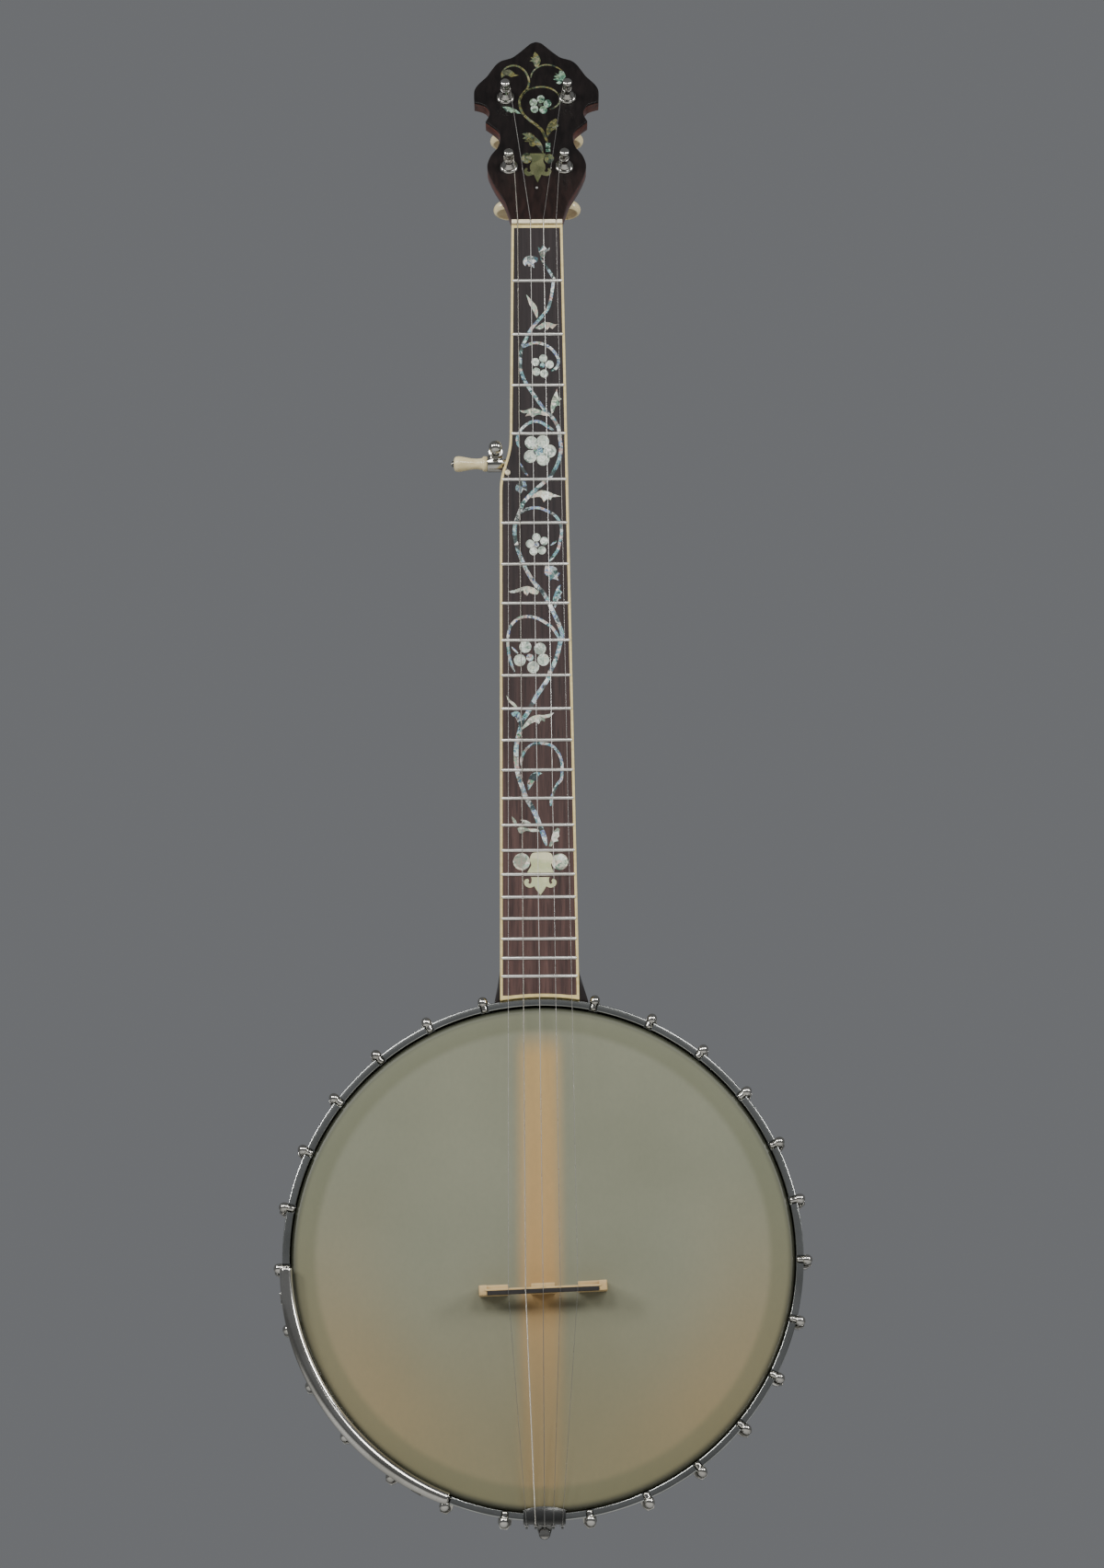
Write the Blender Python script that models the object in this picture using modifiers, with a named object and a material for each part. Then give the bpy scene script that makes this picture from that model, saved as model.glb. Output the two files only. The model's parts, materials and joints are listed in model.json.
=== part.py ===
"""Open-back banjo with five strings.

Metres. +Z runs up the neck, the front faces -Y, and the fifth string lies on the -X side.
The origin is on the fingerboard's face, at the front edge of the nut.
"""

import bisect
import math

import bmesh
import bpy
from mathutils import Matrix, Vector

# Strings and frets
SCALE_LENGTH = 0.6699
FRET_COUNT = 22
FIFTH_FRET = 5
LAST_FRET_TO_HOOP = 0.0128
STRING_DIAMETERS = {1: 0.00025, 2: 0.0003, 3: 0.00041, 4: 0.00061, 5: 0.00025}
NUT_STRING_SPACING = 0.0081
BRIDGE_STRING_SPACING = 0.0103
TAIL_STRING_SPACING = 0.0053
STRING_OVER_BOARD = 0.0013

# Clearance between pieces that touch
GAP = 0.0003

# Neck and fingerboard
NECK_PITCH = math.radians(2.2)
NUT_WIDTH = 0.032
NUT_LENGTH = 0.0027
NUT_SLOT_WIDTH = 0.0010
BOARD_THICKNESS = 0.0055
BOARD_TREBLE_HALF_WIDTH = 0.0229
BOARD_BASS_HALF_WIDTH = 0.0249
FIFTH_PEG_BASS_HALF_WIDTH = 0.024
ABOVE_FIFTH_PEG_BASS_HALF_WIDTH = 0.0177
SCALLOP_BEFORE_FRET = 0.024
SCALLOP_AFTER_FRET = 0.004
FRET_WIDTH = 0.0022
FRET_HEIGHT = 0.001
PIP_RADIUS = 0.0017
PIP_HEIGHT = 0.0014
NECK_DEPTH_AT_NUT = 0.0135
NECK_DEPTH_AT_HEEL = 0.0205
HEEL_LENGTH = 0.055
HEEL_DEPTH = 0.054
HEEL_HALF_WIDTH = 0.0287
HEEL_FLARE_LENGTH = 0.018
VOLUTE_LENGTH = 0.024

# Headstock
HEADSTOCK_ANGLE = math.radians(15.1)
HEADSTOCK_DROP = 0.002
HEADSTOCK_THICKNESS = 0.0072
VENEER_THICKNESS = 0.0018

# Pot, with depths measured back from the front of the head
HEAD_DROP = 0.004
RIM_RADIUS = 0.150
RIM_WALL = 0.0127
RIM_DEPTH = 0.060
TONE_RING_WIDTH = 0.0095
TONE_RING_HEIGHT = 0.007
TONE_RING_ROUND = 0.003
HEAD_THICKNESS = 0.0005
FLESH_HOOP_HEIGHT = 0.005
HOOP_CLEARANCE = 0.0005
HOOP_WALL = 0.0044
HOOP_HEIGHT = 0.0115
HOOP_RISE = 0.0012
NOTCH_WIDTH = 0.005
NOTCH_DEPTH = 0.0042
BAND_TOP = 0.0195
BAND_HEIGHT = 0.0127
BAND_THICKNESS = 0.0016
RING_STEPS = 64

# Hooks and the shoes that carry them
HOOKS_PER_SIDE = 13
FIRST_HOOK_ANGLE = math.radians(12.3)
LAST_HOOK_ANGLE = math.radians(170.7)
HOOK_TURN = math.radians(-0.6)
HOOK_WIRE = 0.0042
HOOK_KNUCKLE = 1.48
HOOK_NUT_HEIGHT = 0.007
HOOK_NUT_RADIUS = 0.0039
HOOK_END = 0.003
SHOE_WIDTH = 0.008
SHOE_HEIGHT = 0.010

# Dowel stick
DOWEL_WIDTH = 0.019
DOWEL_DEPTH = 0.022
DOWEL_TOP = 0.0355
DOWEL_TENON = 0.016

# Bridge
BRIDGE_COMPENSATION = 0.0015
BRIDGE_LENGTH = 0.0763
BRIDGE_CAP_LENGTH = 0.0663
BRIDGE_HEIGHT = 0.016
BRIDGE_CAP_HEIGHT = 0.003
BRIDGE_FOOT_THICKNESS = 0.0063
BRIDGE_TOP_THICKNESS = 0.003
BRIDGE_SLANT = math.radians(2.2)
BRIDGE_ARCH_SHARE = 0.7

# Tailpiece
TAILPIECE_WIDTH = 0.025
TAILPIECE_THICKNESS = 0.0012
TAILPIECE_REACH = 0.0065
TAILPIECE_BULGE = 0.0022
TAILPIECE_SKIRT = 0.009
TAIL_TONGUE_RADIUS = 0.0035
TAIL_PEG_RADIUS = 0.0007
TAIL_PEG_LENGTH = 0.0026
TAIL_BOLT_RADIUS = 0.0017
TAIL_BOLT_HEAD_RADIUS = 0.0031
TAIL_BOLT_STANDOFF = 0.0053
TAIL_BOLT_DEPTH = 0.046
TAIL_BOLT_GRIP = 0.0095

# Armrest
ARMREST_START = math.radians(201.5)
ARMREST_END = math.radians(268.0)
ARMREST_END_WIDTH = 0.0073
ARMREST_MIDDLE_WIDTH = 0.0092
ARMREST_THICKNESS = 0.004
ARMREST_OVERHANG = 0.0016
ARMREST_CLEARANCE = 0.0005
ARMREST_FOOT_WIDTH = 0.007
ARMREST_FOOT_THICKNESS = 0.0018

# Headstock pegs: distance up the headstock, distance from its middle line
LOWER_PEGS = (0.0417, 0.0176)
UPPER_PEGS = (0.0968, 0.0198)
PEG_SHANK_RADIUS = 0.005
PEG_WASHER_RADIUS = 0.0058
PEG_BARREL_RADIUS = 0.0065
PEG_BARREL_LENGTH = 0.0185
PEG_BORE_RADIUS = 0.0033
PEG_WAIST_RADIUS = 0.0024
PEG_POST_HEIGHT = 0.0165
PEG_BUTTON_DISTANCE = 0.046
PEG_BUTTON_WIDTH = 0.0216
PEG_BUTTON_LENGTH = 0.0155
PEG_BUTTON_THICKNESS = 0.0098
WINDING_TURNS = 3
WINDING_POINTS = 10
WINDING_GAP = 0.00045

# Fifth-string peg
FIFTH_PEG_BEFORE_FRET = 0.01335
FIFTH_PEG_DEPTH = 0.010
FIFTH_HOUSING_RADIUS = 0.0053
FIFTH_HOUSING_LENGTH = 0.0093
FIFTH_HOUSING_SEAT = 0.0224
FIFTH_SHANK_RADIUS = 0.003
FIFTH_SHANK_LENGTH = 0.010
FIFTH_CASE_RADIUS = 0.0042
FIFTH_CASE_RISE = 0.002
FIFTH_POST_OFFSET = 0.0055
FIFTH_POST_RADIUS = 0.0022
FIFTH_BALL_RADIUS = 0.0041
FIFTH_BALL_HEIGHT = 0.0095
FIFTH_BUTTON_LENGTH = 0.0225
FIFTH_SHAFT_LENGTH = 0.0026
FIFTH_STEM_LENGTH = 0.006
FIFTH_BUTTON_RADIUS = 0.005



def fret_distance(number):
    return SCALE_LENGTH * (1 - 2 ** (-number / 12))


# Sizes that follow from the ones above
PROUD = 0.002
HOOP_DISTANCE = fret_distance(FRET_COUNT) + LAST_FRET_TO_HOOP
SCALLOP_START = fret_distance(FIFTH_FRET) - SCALLOP_BEFORE_FRET
SCALLOP_END = fret_distance(FIFTH_FRET) + SCALLOP_AFTER_FRET
FIFTH_PEG_DISTANCE = fret_distance(FIFTH_FRET) - FIFTH_PEG_BEFORE_FRET
STRING_NUMBERS = sorted(STRING_DIAMETERS)
HOOP_INNER = RIM_RADIUS + GAP + HEAD_THICKNESS + HOOP_CLEARANCE
HOOP_OUTER = HOOP_INNER + HOOP_WALL
HOOP_BOTTOM = HOOP_RISE - HOOP_HEIGHT
ARMREST_INNER_RADIUS = HOOP_INNER - ARMREST_OVERHANG
HOOK_CIRCLE = HOOP_OUTER + GAP + HOOK_WIRE / 2
FLESH_HOOP_TOP = HOOP_BOTTOM - GAP
FLESH_HOOP_BOTTOM = FLESH_HOOP_TOP - FLESH_HOOP_HEIGHT
TONE_RING_TOP = -HEAD_THICKNESS - GAP
RIM_TOP = TONE_RING_TOP - TONE_RING_HEIGHT - GAP
RIM_BOTTOM = RIM_TOP - RIM_DEPTH
RIM_INNER = RIM_RADIUS - RIM_WALL
BAND_OUTER = RIM_RADIUS + GAP + BAND_THICKNESS
SHOE_MIDDLE = -BAND_TOP - BAND_HEIGHT / 2
POT_Z = -HOOP_DISTANCE - HOOP_OUTER
HEAD_Y = -HOOP_DISTANCE * math.sin(NECK_PITCH) + HEAD_DROP
BOARD_END = HOOP_DISTANCE / math.cos(NECK_PITCH)
BRIDGE_UP = -SCALE_LENGTH - BRIDGE_COMPENSATION - POT_Z
NECK_TOP_Y = BOARD_THICKNESS + GAP
WOOD_FACE_Y = VENEER_THICKNESS + GAP
HEADSTOCK_BACK = VENEER_THICKNESS + GAP + HEADSTOCK_THICKNESS

# Left half of the headstock's outline: distance from the middle line, distance up from the nut
HEADSTOCK_LOBE = [(0.0159, 0.0), (0.0182, 0.0085), (0.0207, 0.0161), (0.0262, 0.0266), (0.0305, 0.0372)]
HEADSTOCK_WAIST = [(0.0313, 0.0438), (0.0288, 0.0512), (0.0249, 0.0570), (0.0232, 0.0637), (0.0246, 0.0702)]
HEADSTOCK_POINT = (0.0325, 0.0776)
HEADSTOCK_NOTCH = [(0.0303, 0.0822), (0.0302, 0.0862), (0.0325, 0.0902), (0.0361, 0.0921)]
HEADSTOCK_EAR = [(0.0398, 0.0932), (0.0399, 0.1015), (0.0374, 0.1071), (0.0318, 0.1136), (0.0266, 0.1221)]
HEADSTOCK_CREST = [(0.0222, 0.1262), (0.0155, 0.1287), (0.0086, 0.1349), (0.0036, 0.1399)]
HEADSTOCK_APEX = (0.0, 0.1412)


def clear_scene():
    for obj in list(bpy.data.objects):
        bpy.data.objects.remove(obj, do_unlink=True)
    for collection in list(bpy.data.collections):
        bpy.data.collections.remove(collection)


def new_collection(name):
    collection = bpy.data.collections.new(name)
    bpy.context.scene.collection.children.link(collection)
    return collection


clear_scene()
PARTS = new_collection("open_back_banjo")
CUTTERS = new_collection("cutters")


def finish_material(name, colour, metallic, roughness):
    material = bpy.data.materials.new(name)
    material.use_nodes = True
    shader = material.node_tree.nodes["Principled BSDF"]
    shader.inputs["Base Color"].default_value = (*colour, 1.0)
    shader.inputs["Metallic"].default_value = metallic
    shader.inputs["Roughness"].default_value = roughness
    material.diffuse_color = (*colour, 1.0)
    return material


NICKEL = finish_material("nickel", (0.62, 0.61, 0.57), 1.0, 0.25)
BRASS = finish_material("tone_ring_brass", (0.60, 0.45, 0.20), 1.0, 0.35)
STEEL = finish_material("string_steel", (0.60, 0.60, 0.60), 1.0, 0.30)
BRONZE = finish_material("wound_string", (0.66, 0.62, 0.52), 1.0, 0.40)
MAHOGANY = finish_material("neck_mahogany", (0.10, 0.025, 0.015), 0.0, 0.35)
MAPLE = finish_material("maple", (0.52, 0.36, 0.18), 0.0, 0.45)
BRIDGE_MAPLE = finish_material("bridge_maple", (0.65, 0.50, 0.33), 0.0, 0.55)
EBONY = finish_material("ebony", (0.022, 0.017, 0.016), 0.0, 0.40)
VENEER = finish_material("black_veneer", (0.006, 0.004, 0.004), 0.0, 0.25)
SKIN = finish_material("head_skin", (0.22, 0.23, 0.16), 0.0, 0.50)
BONE = finish_material("bone", (0.78, 0.70, 0.50), 0.0, 0.40)
CREAM = finish_material("cream_plastic", (0.75, 0.68, 0.48), 0.0, 0.30)


def frame_empty(name, location, rotation, parent=None):
    empty = bpy.data.objects.new(name, None)
    PARTS.objects.link(empty)
    empty.location = location
    empty.rotation_euler = rotation
    empty.parent = parent
    return empty


# The pot's frame has X to the right, Y up and Z out of the head, and so have the peg frames.
FRONT_UP = (math.pi / 2, 0.0, 0.0)
NECK_FRAME = frame_empty("neck_frame", (0, 0, 0), (-NECK_PITCH, 0, 0))
HEADSTOCK_START = NUT_LENGTH + GAP + VENEER_THICKNESS * math.sin(HEADSTOCK_ANGLE)
HEADSTOCK_FRAME = frame_empty(
    "headstock_frame", (0, HEADSTOCK_DROP, HEADSTOCK_START), (-HEADSTOCK_ANGLE, 0, 0), NECK_FRAME
)
POT_FRAME = frame_empty("pot_frame", (0, HEAD_Y, POT_Z), FRONT_UP)


def add_object(name, data, material, parent=None, collection=None):
    obj = bpy.data.objects.new(name, data)
    (collection or PARTS).objects.link(obj)
    obj.parent = parent
    if material:
        data.materials.clear()
        data.materials.append(material)
    return obj


def make_cutter(obj):
    obj.hide_render = True
    obj.display_type = "WIRE"
    return obj


def shade_round(mesh):
    mesh.shade_smooth()
    mesh.set_sharp_from_angle(angle=math.radians(35))


def turned(name, profile, material, parent, steps, ring=False, collection=None):
    """Turns a profile of (radius, height) round local Z. It runs down its outer side."""
    mesh = bpy.data.meshes.new(name)
    edges = [(i, i + 1) for i in range(len(profile) - 1)]
    if ring:
        edges.append((len(profile) - 1, 0))
    mesh.from_pydata([(radius, 0.0, height) for radius, height in profile], edges, [])
    obj = add_object(name, mesh, material, parent, collection)
    screw = obj.modifiers.new("turn", "SCREW")
    screw.steps = steps
    screw.render_steps = steps
    screw.use_merge_vertices = True
    screw.merge_threshold = 0.00001
    return settle(obj)


def settle(obj):
    """Replaces an object's curve or modifiers by the mesh they make, with its caps welded."""
    bpy.context.view_layer.update()
    graph = bpy.context.evaluated_depsgraph_get()
    mesh = bpy.data.meshes.new_from_object(obj.evaluated_get(graph))
    mesh.name = obj.name
    shape = bmesh.new()
    shape.from_mesh(mesh)
    bmesh.ops.remove_doubles(shape, verts=shape.verts, dist=0.000002)
    bmesh.ops.recalc_face_normals(shape, faces=shape.faces)
    shape.to_mesh(mesh)
    shape.free()
    shade_round(mesh)
    if obj.type == "MESH":
        obj.modifiers.clear()
        obj.data = mesh
        return obj
    name = obj.name
    settled = bpy.data.objects.new(name, mesh)
    for collection in list(obj.users_collection):
        collection.objects.link(settled)
    settled.parent = obj.parent
    settled.matrix_basis = obj.matrix_basis
    bpy.data.objects.remove(obj, do_unlink=True)
    settled.name = name
    return settled


def plate(name, outlines, thickness, material, parent, collection=None):
    """Flat piece from closed outlines in local XY, centred on local Z = 0."""
    curve = bpy.data.curves.new(name, "CURVE")
    curve.dimensions = "2D"
    curve.fill_mode = "BOTH"
    curve.extrude = thickness / 2
    for outline in outlines:
        spline = curve.splines.new("POLY")
        spline.points.add(len(outline) - 1)
        for point, (x, y) in zip(spline.points, outline):
            point.co = (x, y, 0.0, 1.0)
        spline.use_cyclic_u = True
    return settle(add_object(name, curve, material, parent, collection))


def tube(name, points, radius, resolution, material, parent, collection=None, widths=None):
    curve = bpy.data.curves.new(name, "CURVE")
    curve.dimensions = "3D"
    curve.bevel_depth = radius
    curve.bevel_resolution = resolution
    curve.use_fill_caps = True
    spline = curve.splines.new("POLY")
    spline.points.add(len(points) - 1)
    for point, place, width in zip(spline.points, points, widths or [1.0] * len(points)):
        point.co = (*place, 1.0)
        point.radius = width
    return settle(add_object(name, curve, material, parent, collection))


def from_bmesh(name, shape, material, parent, collection=None):
    mesh = bpy.data.meshes.new(name)
    bmesh.ops.recalc_face_normals(shape, faces=shape.faces)
    shape.to_mesh(mesh)
    shape.free()
    shade_round(mesh)
    return add_object(name, mesh, material, parent, collection)


def box(name, low, high, material=None, parent=None, collection=None):
    middle = [(a + b) / 2 for a, b in zip(low, high)]
    sides = [b - a for a, b in zip(low, high)]
    shape = bmesh.new()
    place = Matrix.Translation(middle) @ Matrix.Diagonal((*sides, 1.0))
    bmesh.ops.create_cube(shape, size=1.0, matrix=place)
    return from_bmesh(name, shape, material, parent, collection)


def rod(name, start, end, radius, sides, material=None, parent=None, collection=None):
    start, end = Vector(start), Vector(end)
    along = end - start
    turn = along.to_track_quat("Z", "Y").to_matrix().to_4x4()
    shape = bmesh.new()
    bmesh.ops.create_cone(
        shape, cap_ends=True, segments=sides, radius1=radius, radius2=radius,
        depth=along.length, matrix=Matrix.Translation((start + end) / 2) @ turn,
    )
    return from_bmesh(name, shape, material, parent, collection)


def joined_cutter(name, pieces, parent):
    """One cutter, or one set of additions, made of several closed shapes that don't touch."""
    shape = bmesh.new()
    for piece in pieces:
        mesh = piece.data
        mesh.transform(piece.matrix_basis)
        shape.from_mesh(mesh)
        bpy.data.objects.remove(piece, do_unlink=True)
    mesh = bpy.data.meshes.new(name)
    shape.to_mesh(mesh)
    shape.free()
    return make_cutter(add_object(name, mesh, None, parent, CUTTERS))


def combine(obj, operation, other):
    make_cutter(other)
    boolean = obj.modifiers.new(other.name, "BOOLEAN")
    boolean.operation = operation
    boolean.object = other
    return obj


def cut(obj, cutter):
    return combine(obj, "DIFFERENCE", cutter)


def join(obj, addition):
    return combine(obj, "UNION", addition)


def mixed(a, b, share):
    return a + (b - a) * share


def smooth_step(start, end, value):
    share = min(max((value - start) / (end - start), 0.0), 1.0)
    return share * share * (3 - 2 * share)


def clock_direction(angle):
    """Unit vector in the pot's XY at a clock angle, seen from the front."""
    return math.sin(angle), math.cos(angle)


def hook_angles():
    step = (LAST_HOOK_ANGLE - FIRST_HOOK_ANGLE) / (HOOKS_PER_SIDE - 1)
    right = [FIRST_HOOK_ANGLE + step * i for i in range(HOOKS_PER_SIDE)]
    both = right + [2 * math.pi - angle for angle in reversed(right)]
    return [angle + HOOK_TURN for angle in both]


def turn_to(obj, angle):
    """Turns a piece modelled along the pot's +X to a clock angle."""
    obj.rotation_euler = (0, 0, math.pi / 2 - angle)
    return obj


# Fingerboard outline, at a distance from the nut


def treble_half_width(distance):
    return mixed(NUT_WIDTH / 2, BOARD_TREBLE_HALF_WIDTH, distance / BOARD_END)


def bass_half_width(distance):
    upper = mixed(NUT_WIDTH / 2, ABOVE_FIFTH_PEG_BASS_HALF_WIDTH, distance / SCALLOP_START)
    share = (distance - SCALLOP_END) / (BOARD_END - SCALLOP_END)
    lower = mixed(FIFTH_PEG_BASS_HALF_WIDTH, BOARD_BASS_HALF_WIDTH, share)
    return mixed(upper, lower, smooth_step(SCALLOP_START, SCALLOP_END, distance))


def end_arc_distance(x):
    """Distance from the nut to the arc that follows the hoop, at a place across the board."""
    centre = -POT_Z / math.cos(NECK_PITCH)
    return centre - math.sqrt((HOOP_OUTER + 2 * GAP) ** 2 - x * x)


def scallop_distances():
    count = 5
    return [mixed(SCALLOP_START, SCALLOP_END, i / count) for i in range(count + 1)]


def make_rim():
    profile = [(RIM_RADIUS, RIM_TOP), (RIM_RADIUS, RIM_BOTTOM), (RIM_INNER, RIM_BOTTOM), (RIM_INNER, RIM_TOP)]
    rim = turned("rim", profile, MAPLE, POT_FRAME, RING_STEPS, ring=True)
    half = DOWEL_WIDTH / 2 + GAP
    low = (-half, RIM_INNER - PROUD * 2, -DOWEL_TOP - DOWEL_DEPTH - GAP)
    high = (half, RIM_RADIUS + PROUD, -DOWEL_TOP + GAP)
    cut(rim, box("rim_mortise", low, high, None, POT_FRAME, CUTTERS))
    start = (0, -RIM_INNER + PROUD, -TAIL_BOLT_DEPTH)
    end = (0, -RIM_RADIUS - PROUD, -TAIL_BOLT_DEPTH)
    cut(rim, rod("tail_bolt_hole", start, end, TAIL_BOLT_RADIUS + GAP, 12, None, POT_FRAME, CUTTERS))
    return rim


def make_tone_ring():
    inner = RIM_RADIUS - TONE_RING_WIDTH
    bottom = TONE_RING_TOP - TONE_RING_HEIGHT
    turn = TONE_RING_ROUND
    profile = [(RIM_RADIUS - turn * (1 - math.sin(a)), TONE_RING_TOP - turn * (1 - math.cos(a)))
               for a in (0.0, math.pi / 4, math.pi / 2)]
    profile += [(RIM_RADIUS, bottom), (inner, bottom), (inner, TONE_RING_TOP)]
    return turned("tone_ring", profile, BRASS, POT_FRAME, RING_STEPS, ring=True)


def make_head():
    """Skin that turns down over the tone ring and ends in its flesh hoop."""
    inside = RIM_RADIUS + GAP
    outside = inside + HEAD_THICKNESS
    outer_turn = TONE_RING_ROUND + GAP + HEAD_THICKNESS
    inner_turn = TONE_RING_ROUND + GAP
    flesh_outer = HOOP_OUTER - GAP

    def shoulder(radius, turn, top):
        return [(radius - turn * (1 - math.sin(a)), top - turn * (1 - math.cos(a)))
                for a in (0.0, math.pi / 4, math.pi / 2)]

    profile = [(0.0, 0.0)] + shoulder(outside, outer_turn, 0.0)
    profile += [(outside, FLESH_HOOP_TOP), (flesh_outer, FLESH_HOOP_TOP), (flesh_outer, FLESH_HOOP_BOTTOM)]
    profile += [(inside, FLESH_HOOP_BOTTOM)] + shoulder(inside, inner_turn, -HEAD_THICKNESS)[::-1]
    profile += [(0.0, -HEAD_THICKNESS)]
    return turned("head", profile, SKIN, POT_FRAME, RING_STEPS)


def make_tension_hoop():
    profile = [(HOOP_OUTER, HOOP_RISE), (HOOP_OUTER, HOOP_BOTTOM), (HOOP_INNER, HOOP_BOTTOM), (HOOP_INNER, HOOP_RISE)]
    hoop = turned("tension_hoop", profile, NICKEL, POT_FRAME, RING_STEPS, ring=True)
    low = (HOOP_INNER - PROUD, -NOTCH_WIDTH / 2, HOOP_RISE - NOTCH_DEPTH)
    high = (HOOP_OUTER + PROUD, NOTCH_WIDTH / 2, HOOP_RISE + PROUD)
    notches = [turn_to(box("notch", low, high, None, None, CUTTERS), angle) for angle in hook_angles()]
    return cut(hoop, joined_cutter("hoop_notches", notches, POT_FRAME))


def shoe_outline():
    start = RIM_RADIUS + GAP + BAND_THICKNESS / 2
    half = SHOE_WIDTH / 2
    arc = [(HOOK_CIRCLE + half * math.cos(a), half * math.sin(a))
           for a in (-math.pi / 2, -math.pi / 6, math.pi / 6, math.pi / 2)]
    return [(start, -half)] + arc + [(start, half)]


def shoe_hole():
    sides = 6
    radius = (HOOK_WIRE / 2 + GAP) / math.cos(math.pi / sides)
    return [(HOOK_CIRCLE + radius * math.cos(2 * math.pi * i / sides), radius * math.sin(2 * math.pi * i / sides))
            for i in range(sides)]


def make_bracket_band():
    inside = RIM_RADIUS + GAP
    bottom = -BAND_TOP - BAND_HEIGHT
    profile = [(BAND_OUTER, -BAND_TOP), (BAND_OUTER, bottom), (inside, bottom), (inside, -BAND_TOP)]
    band = turned("bracket_band", profile, NICKEL, POT_FRAME, RING_STEPS, ring=True)
    shoes = []
    for angle in hook_angles():
        shoe = plate("shoe", [shoe_outline(), shoe_hole()], SHOE_HEIGHT, None, None, CUTTERS)
        shoe.location = (0, 0, SHOE_MIDDLE)
        shoes.append(turn_to(shoe, angle))
    return join(band, joined_cutter("shoes", shoes, POT_FRAME))


def hook_claw_height():
    return HOOP_RISE - NOTCH_DEPTH + GAP + HOOK_WIRE / 2


def hook_mesh():
    """A rod with a round knuckle where it bends over the hoop, and its nut below the shoe."""
    claw = hook_claw_height()
    shoe_bottom = SHOE_MIDDLE - SHOE_HEIGHT / 2
    wire = HOOK_WIRE
    path = [
        (HOOP_INNER + wire * 0.02, claw, 0.6),
        (HOOP_INNER + wire * 0.2, claw, 0.95),
        (HOOK_CIRCLE - wire * 0.65, claw, 1.08),
        (HOOK_CIRCLE, claw - wire * 0.1, HOOK_KNUCKLE),
        (HOOK_CIRCLE, claw - wire * 0.7, 1.05),
        (HOOK_CIRCLE, shoe_bottom - GAP - HOOK_NUT_HEIGHT - HOOK_END, 1.0),
    ]
    points = [(across, 0, height) for across, height, _ in path]
    hook = tube("hook", points, wire / 2, 2, NICKEL, None, widths=[width for _, _, width in path])
    start = (HOOK_CIRCLE, 0, shoe_bottom - GAP)
    end = (HOOK_CIRCLE, 0, shoe_bottom - GAP - HOOK_NUT_HEIGHT)
    join(hook, rod("hook_nut", start, end, HOOK_NUT_RADIUS, 6, None, None, CUTTERS))
    mesh = settle(hook).data
    bpy.data.objects.remove(hook, do_unlink=True)
    return mesh


def make_hooks():
    mesh = hook_mesh()
    for number, angle in enumerate(hook_angles(), start=1):
        turn_to(add_object(f"hook_{number:02d}", mesh, NICKEL, POT_FRAME), angle)


def dowel_tail():
    """Where the dowel stick ends, just clear of the rim's inside."""
    flat_radius = RIM_INNER * math.cos(math.pi / RING_STEPS)
    return -math.sqrt(flat_radius ** 2 - (DOWEL_WIDTH / 2) ** 2) + GAP


def make_dowel_stick():
    tail = dowel_tail()
    low = (-DOWEL_WIDTH / 2, tail, -DOWEL_TOP - DOWEL_DEPTH)
    high = (DOWEL_WIDTH / 2, RIM_RADIUS + DOWEL_TENON, -DOWEL_TOP)
    dowel = box("dowel_stick", low, high, MAPLE, POT_FRAME)
    start = (0, tail - PROUD, -TAIL_BOLT_DEPTH)
    end = (0, tail + TAIL_BOLT_GRIP + 2 * GAP, -TAIL_BOLT_DEPTH)
    return cut(dowel, rod("dowel_bolt_hole", start, end, TAIL_BOLT_RADIUS + GAP, 12, None, POT_FRAME, CUTTERS))


# Depth fractions of a neck section, from the fingerboard's underside to the back
SECTION_DEPTHS = (0.0, 0.12, 0.3, 0.5, 0.68, 0.84, 0.95, 1.0)


def volute_share(distance):
    """How far past the nut a section is, along the stretch that runs into the headstock."""
    return min(max((-distance - NUT_LENGTH) / VOLUTE_LENGTH, 0.0), 1.0)


def neck_section(distance):
    """Ring of points of the neck's wood, in the neck's frame, at a distance from the nut."""
    heel_start = BOARD_END - HEEL_LENGTH
    heel = smooth_step(heel_start, BOARD_END, distance) ** 1.6
    shaft_depth = mixed(NECK_DEPTH_AT_NUT, NECK_DEPTH_AT_HEEL, max(distance, 0.0) / BOARD_END)
    roundness = mixed(2.4, 5.0, heel)
    inside = HEADSTOCK_DROP + WOOD_FACE_Y + VOLUTE_LENGTH * math.tan(HEADSTOCK_ANGLE) + HEADSTOCK_THICKNESS * 0.35
    top = mixed(NECK_TOP_Y, inside, volute_share(distance))
    back = mixed(NECK_TOP_Y + mixed(shaft_depth, HEEL_DEPTH, heel), inside + HEADSTOCK_THICKNESS * 0.55,
                 volute_share(distance))
    depth = back - top
    flared = smooth_step(BOARD_END - HEEL_FLARE_LENGTH, BOARD_END, distance)

    def half_widths(top_half_width):
        flare = max(HEEL_HALF_WIDTH - top_half_width, 0.0) * flared
        for share in SECTION_DEPTHS:
            swell = flare * math.sin(math.pi * min(share * 3.2, 1.0))
            yield (top_half_width + swell) * (1 - share ** roundness) ** 0.5

    board_distance = max(distance, 0.0)
    left = list(half_widths(bass_half_width(board_distance)))
    right = list(half_widths(treble_half_width(board_distance)))
    down = [(-x, top + share * depth, -distance) for x, share in zip(left, SECTION_DEPTHS)]
    up = [(x, top + share * depth, -distance) for x, share in zip(right, SECTION_DEPTHS)]
    return down + up[-2::-1]


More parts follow.
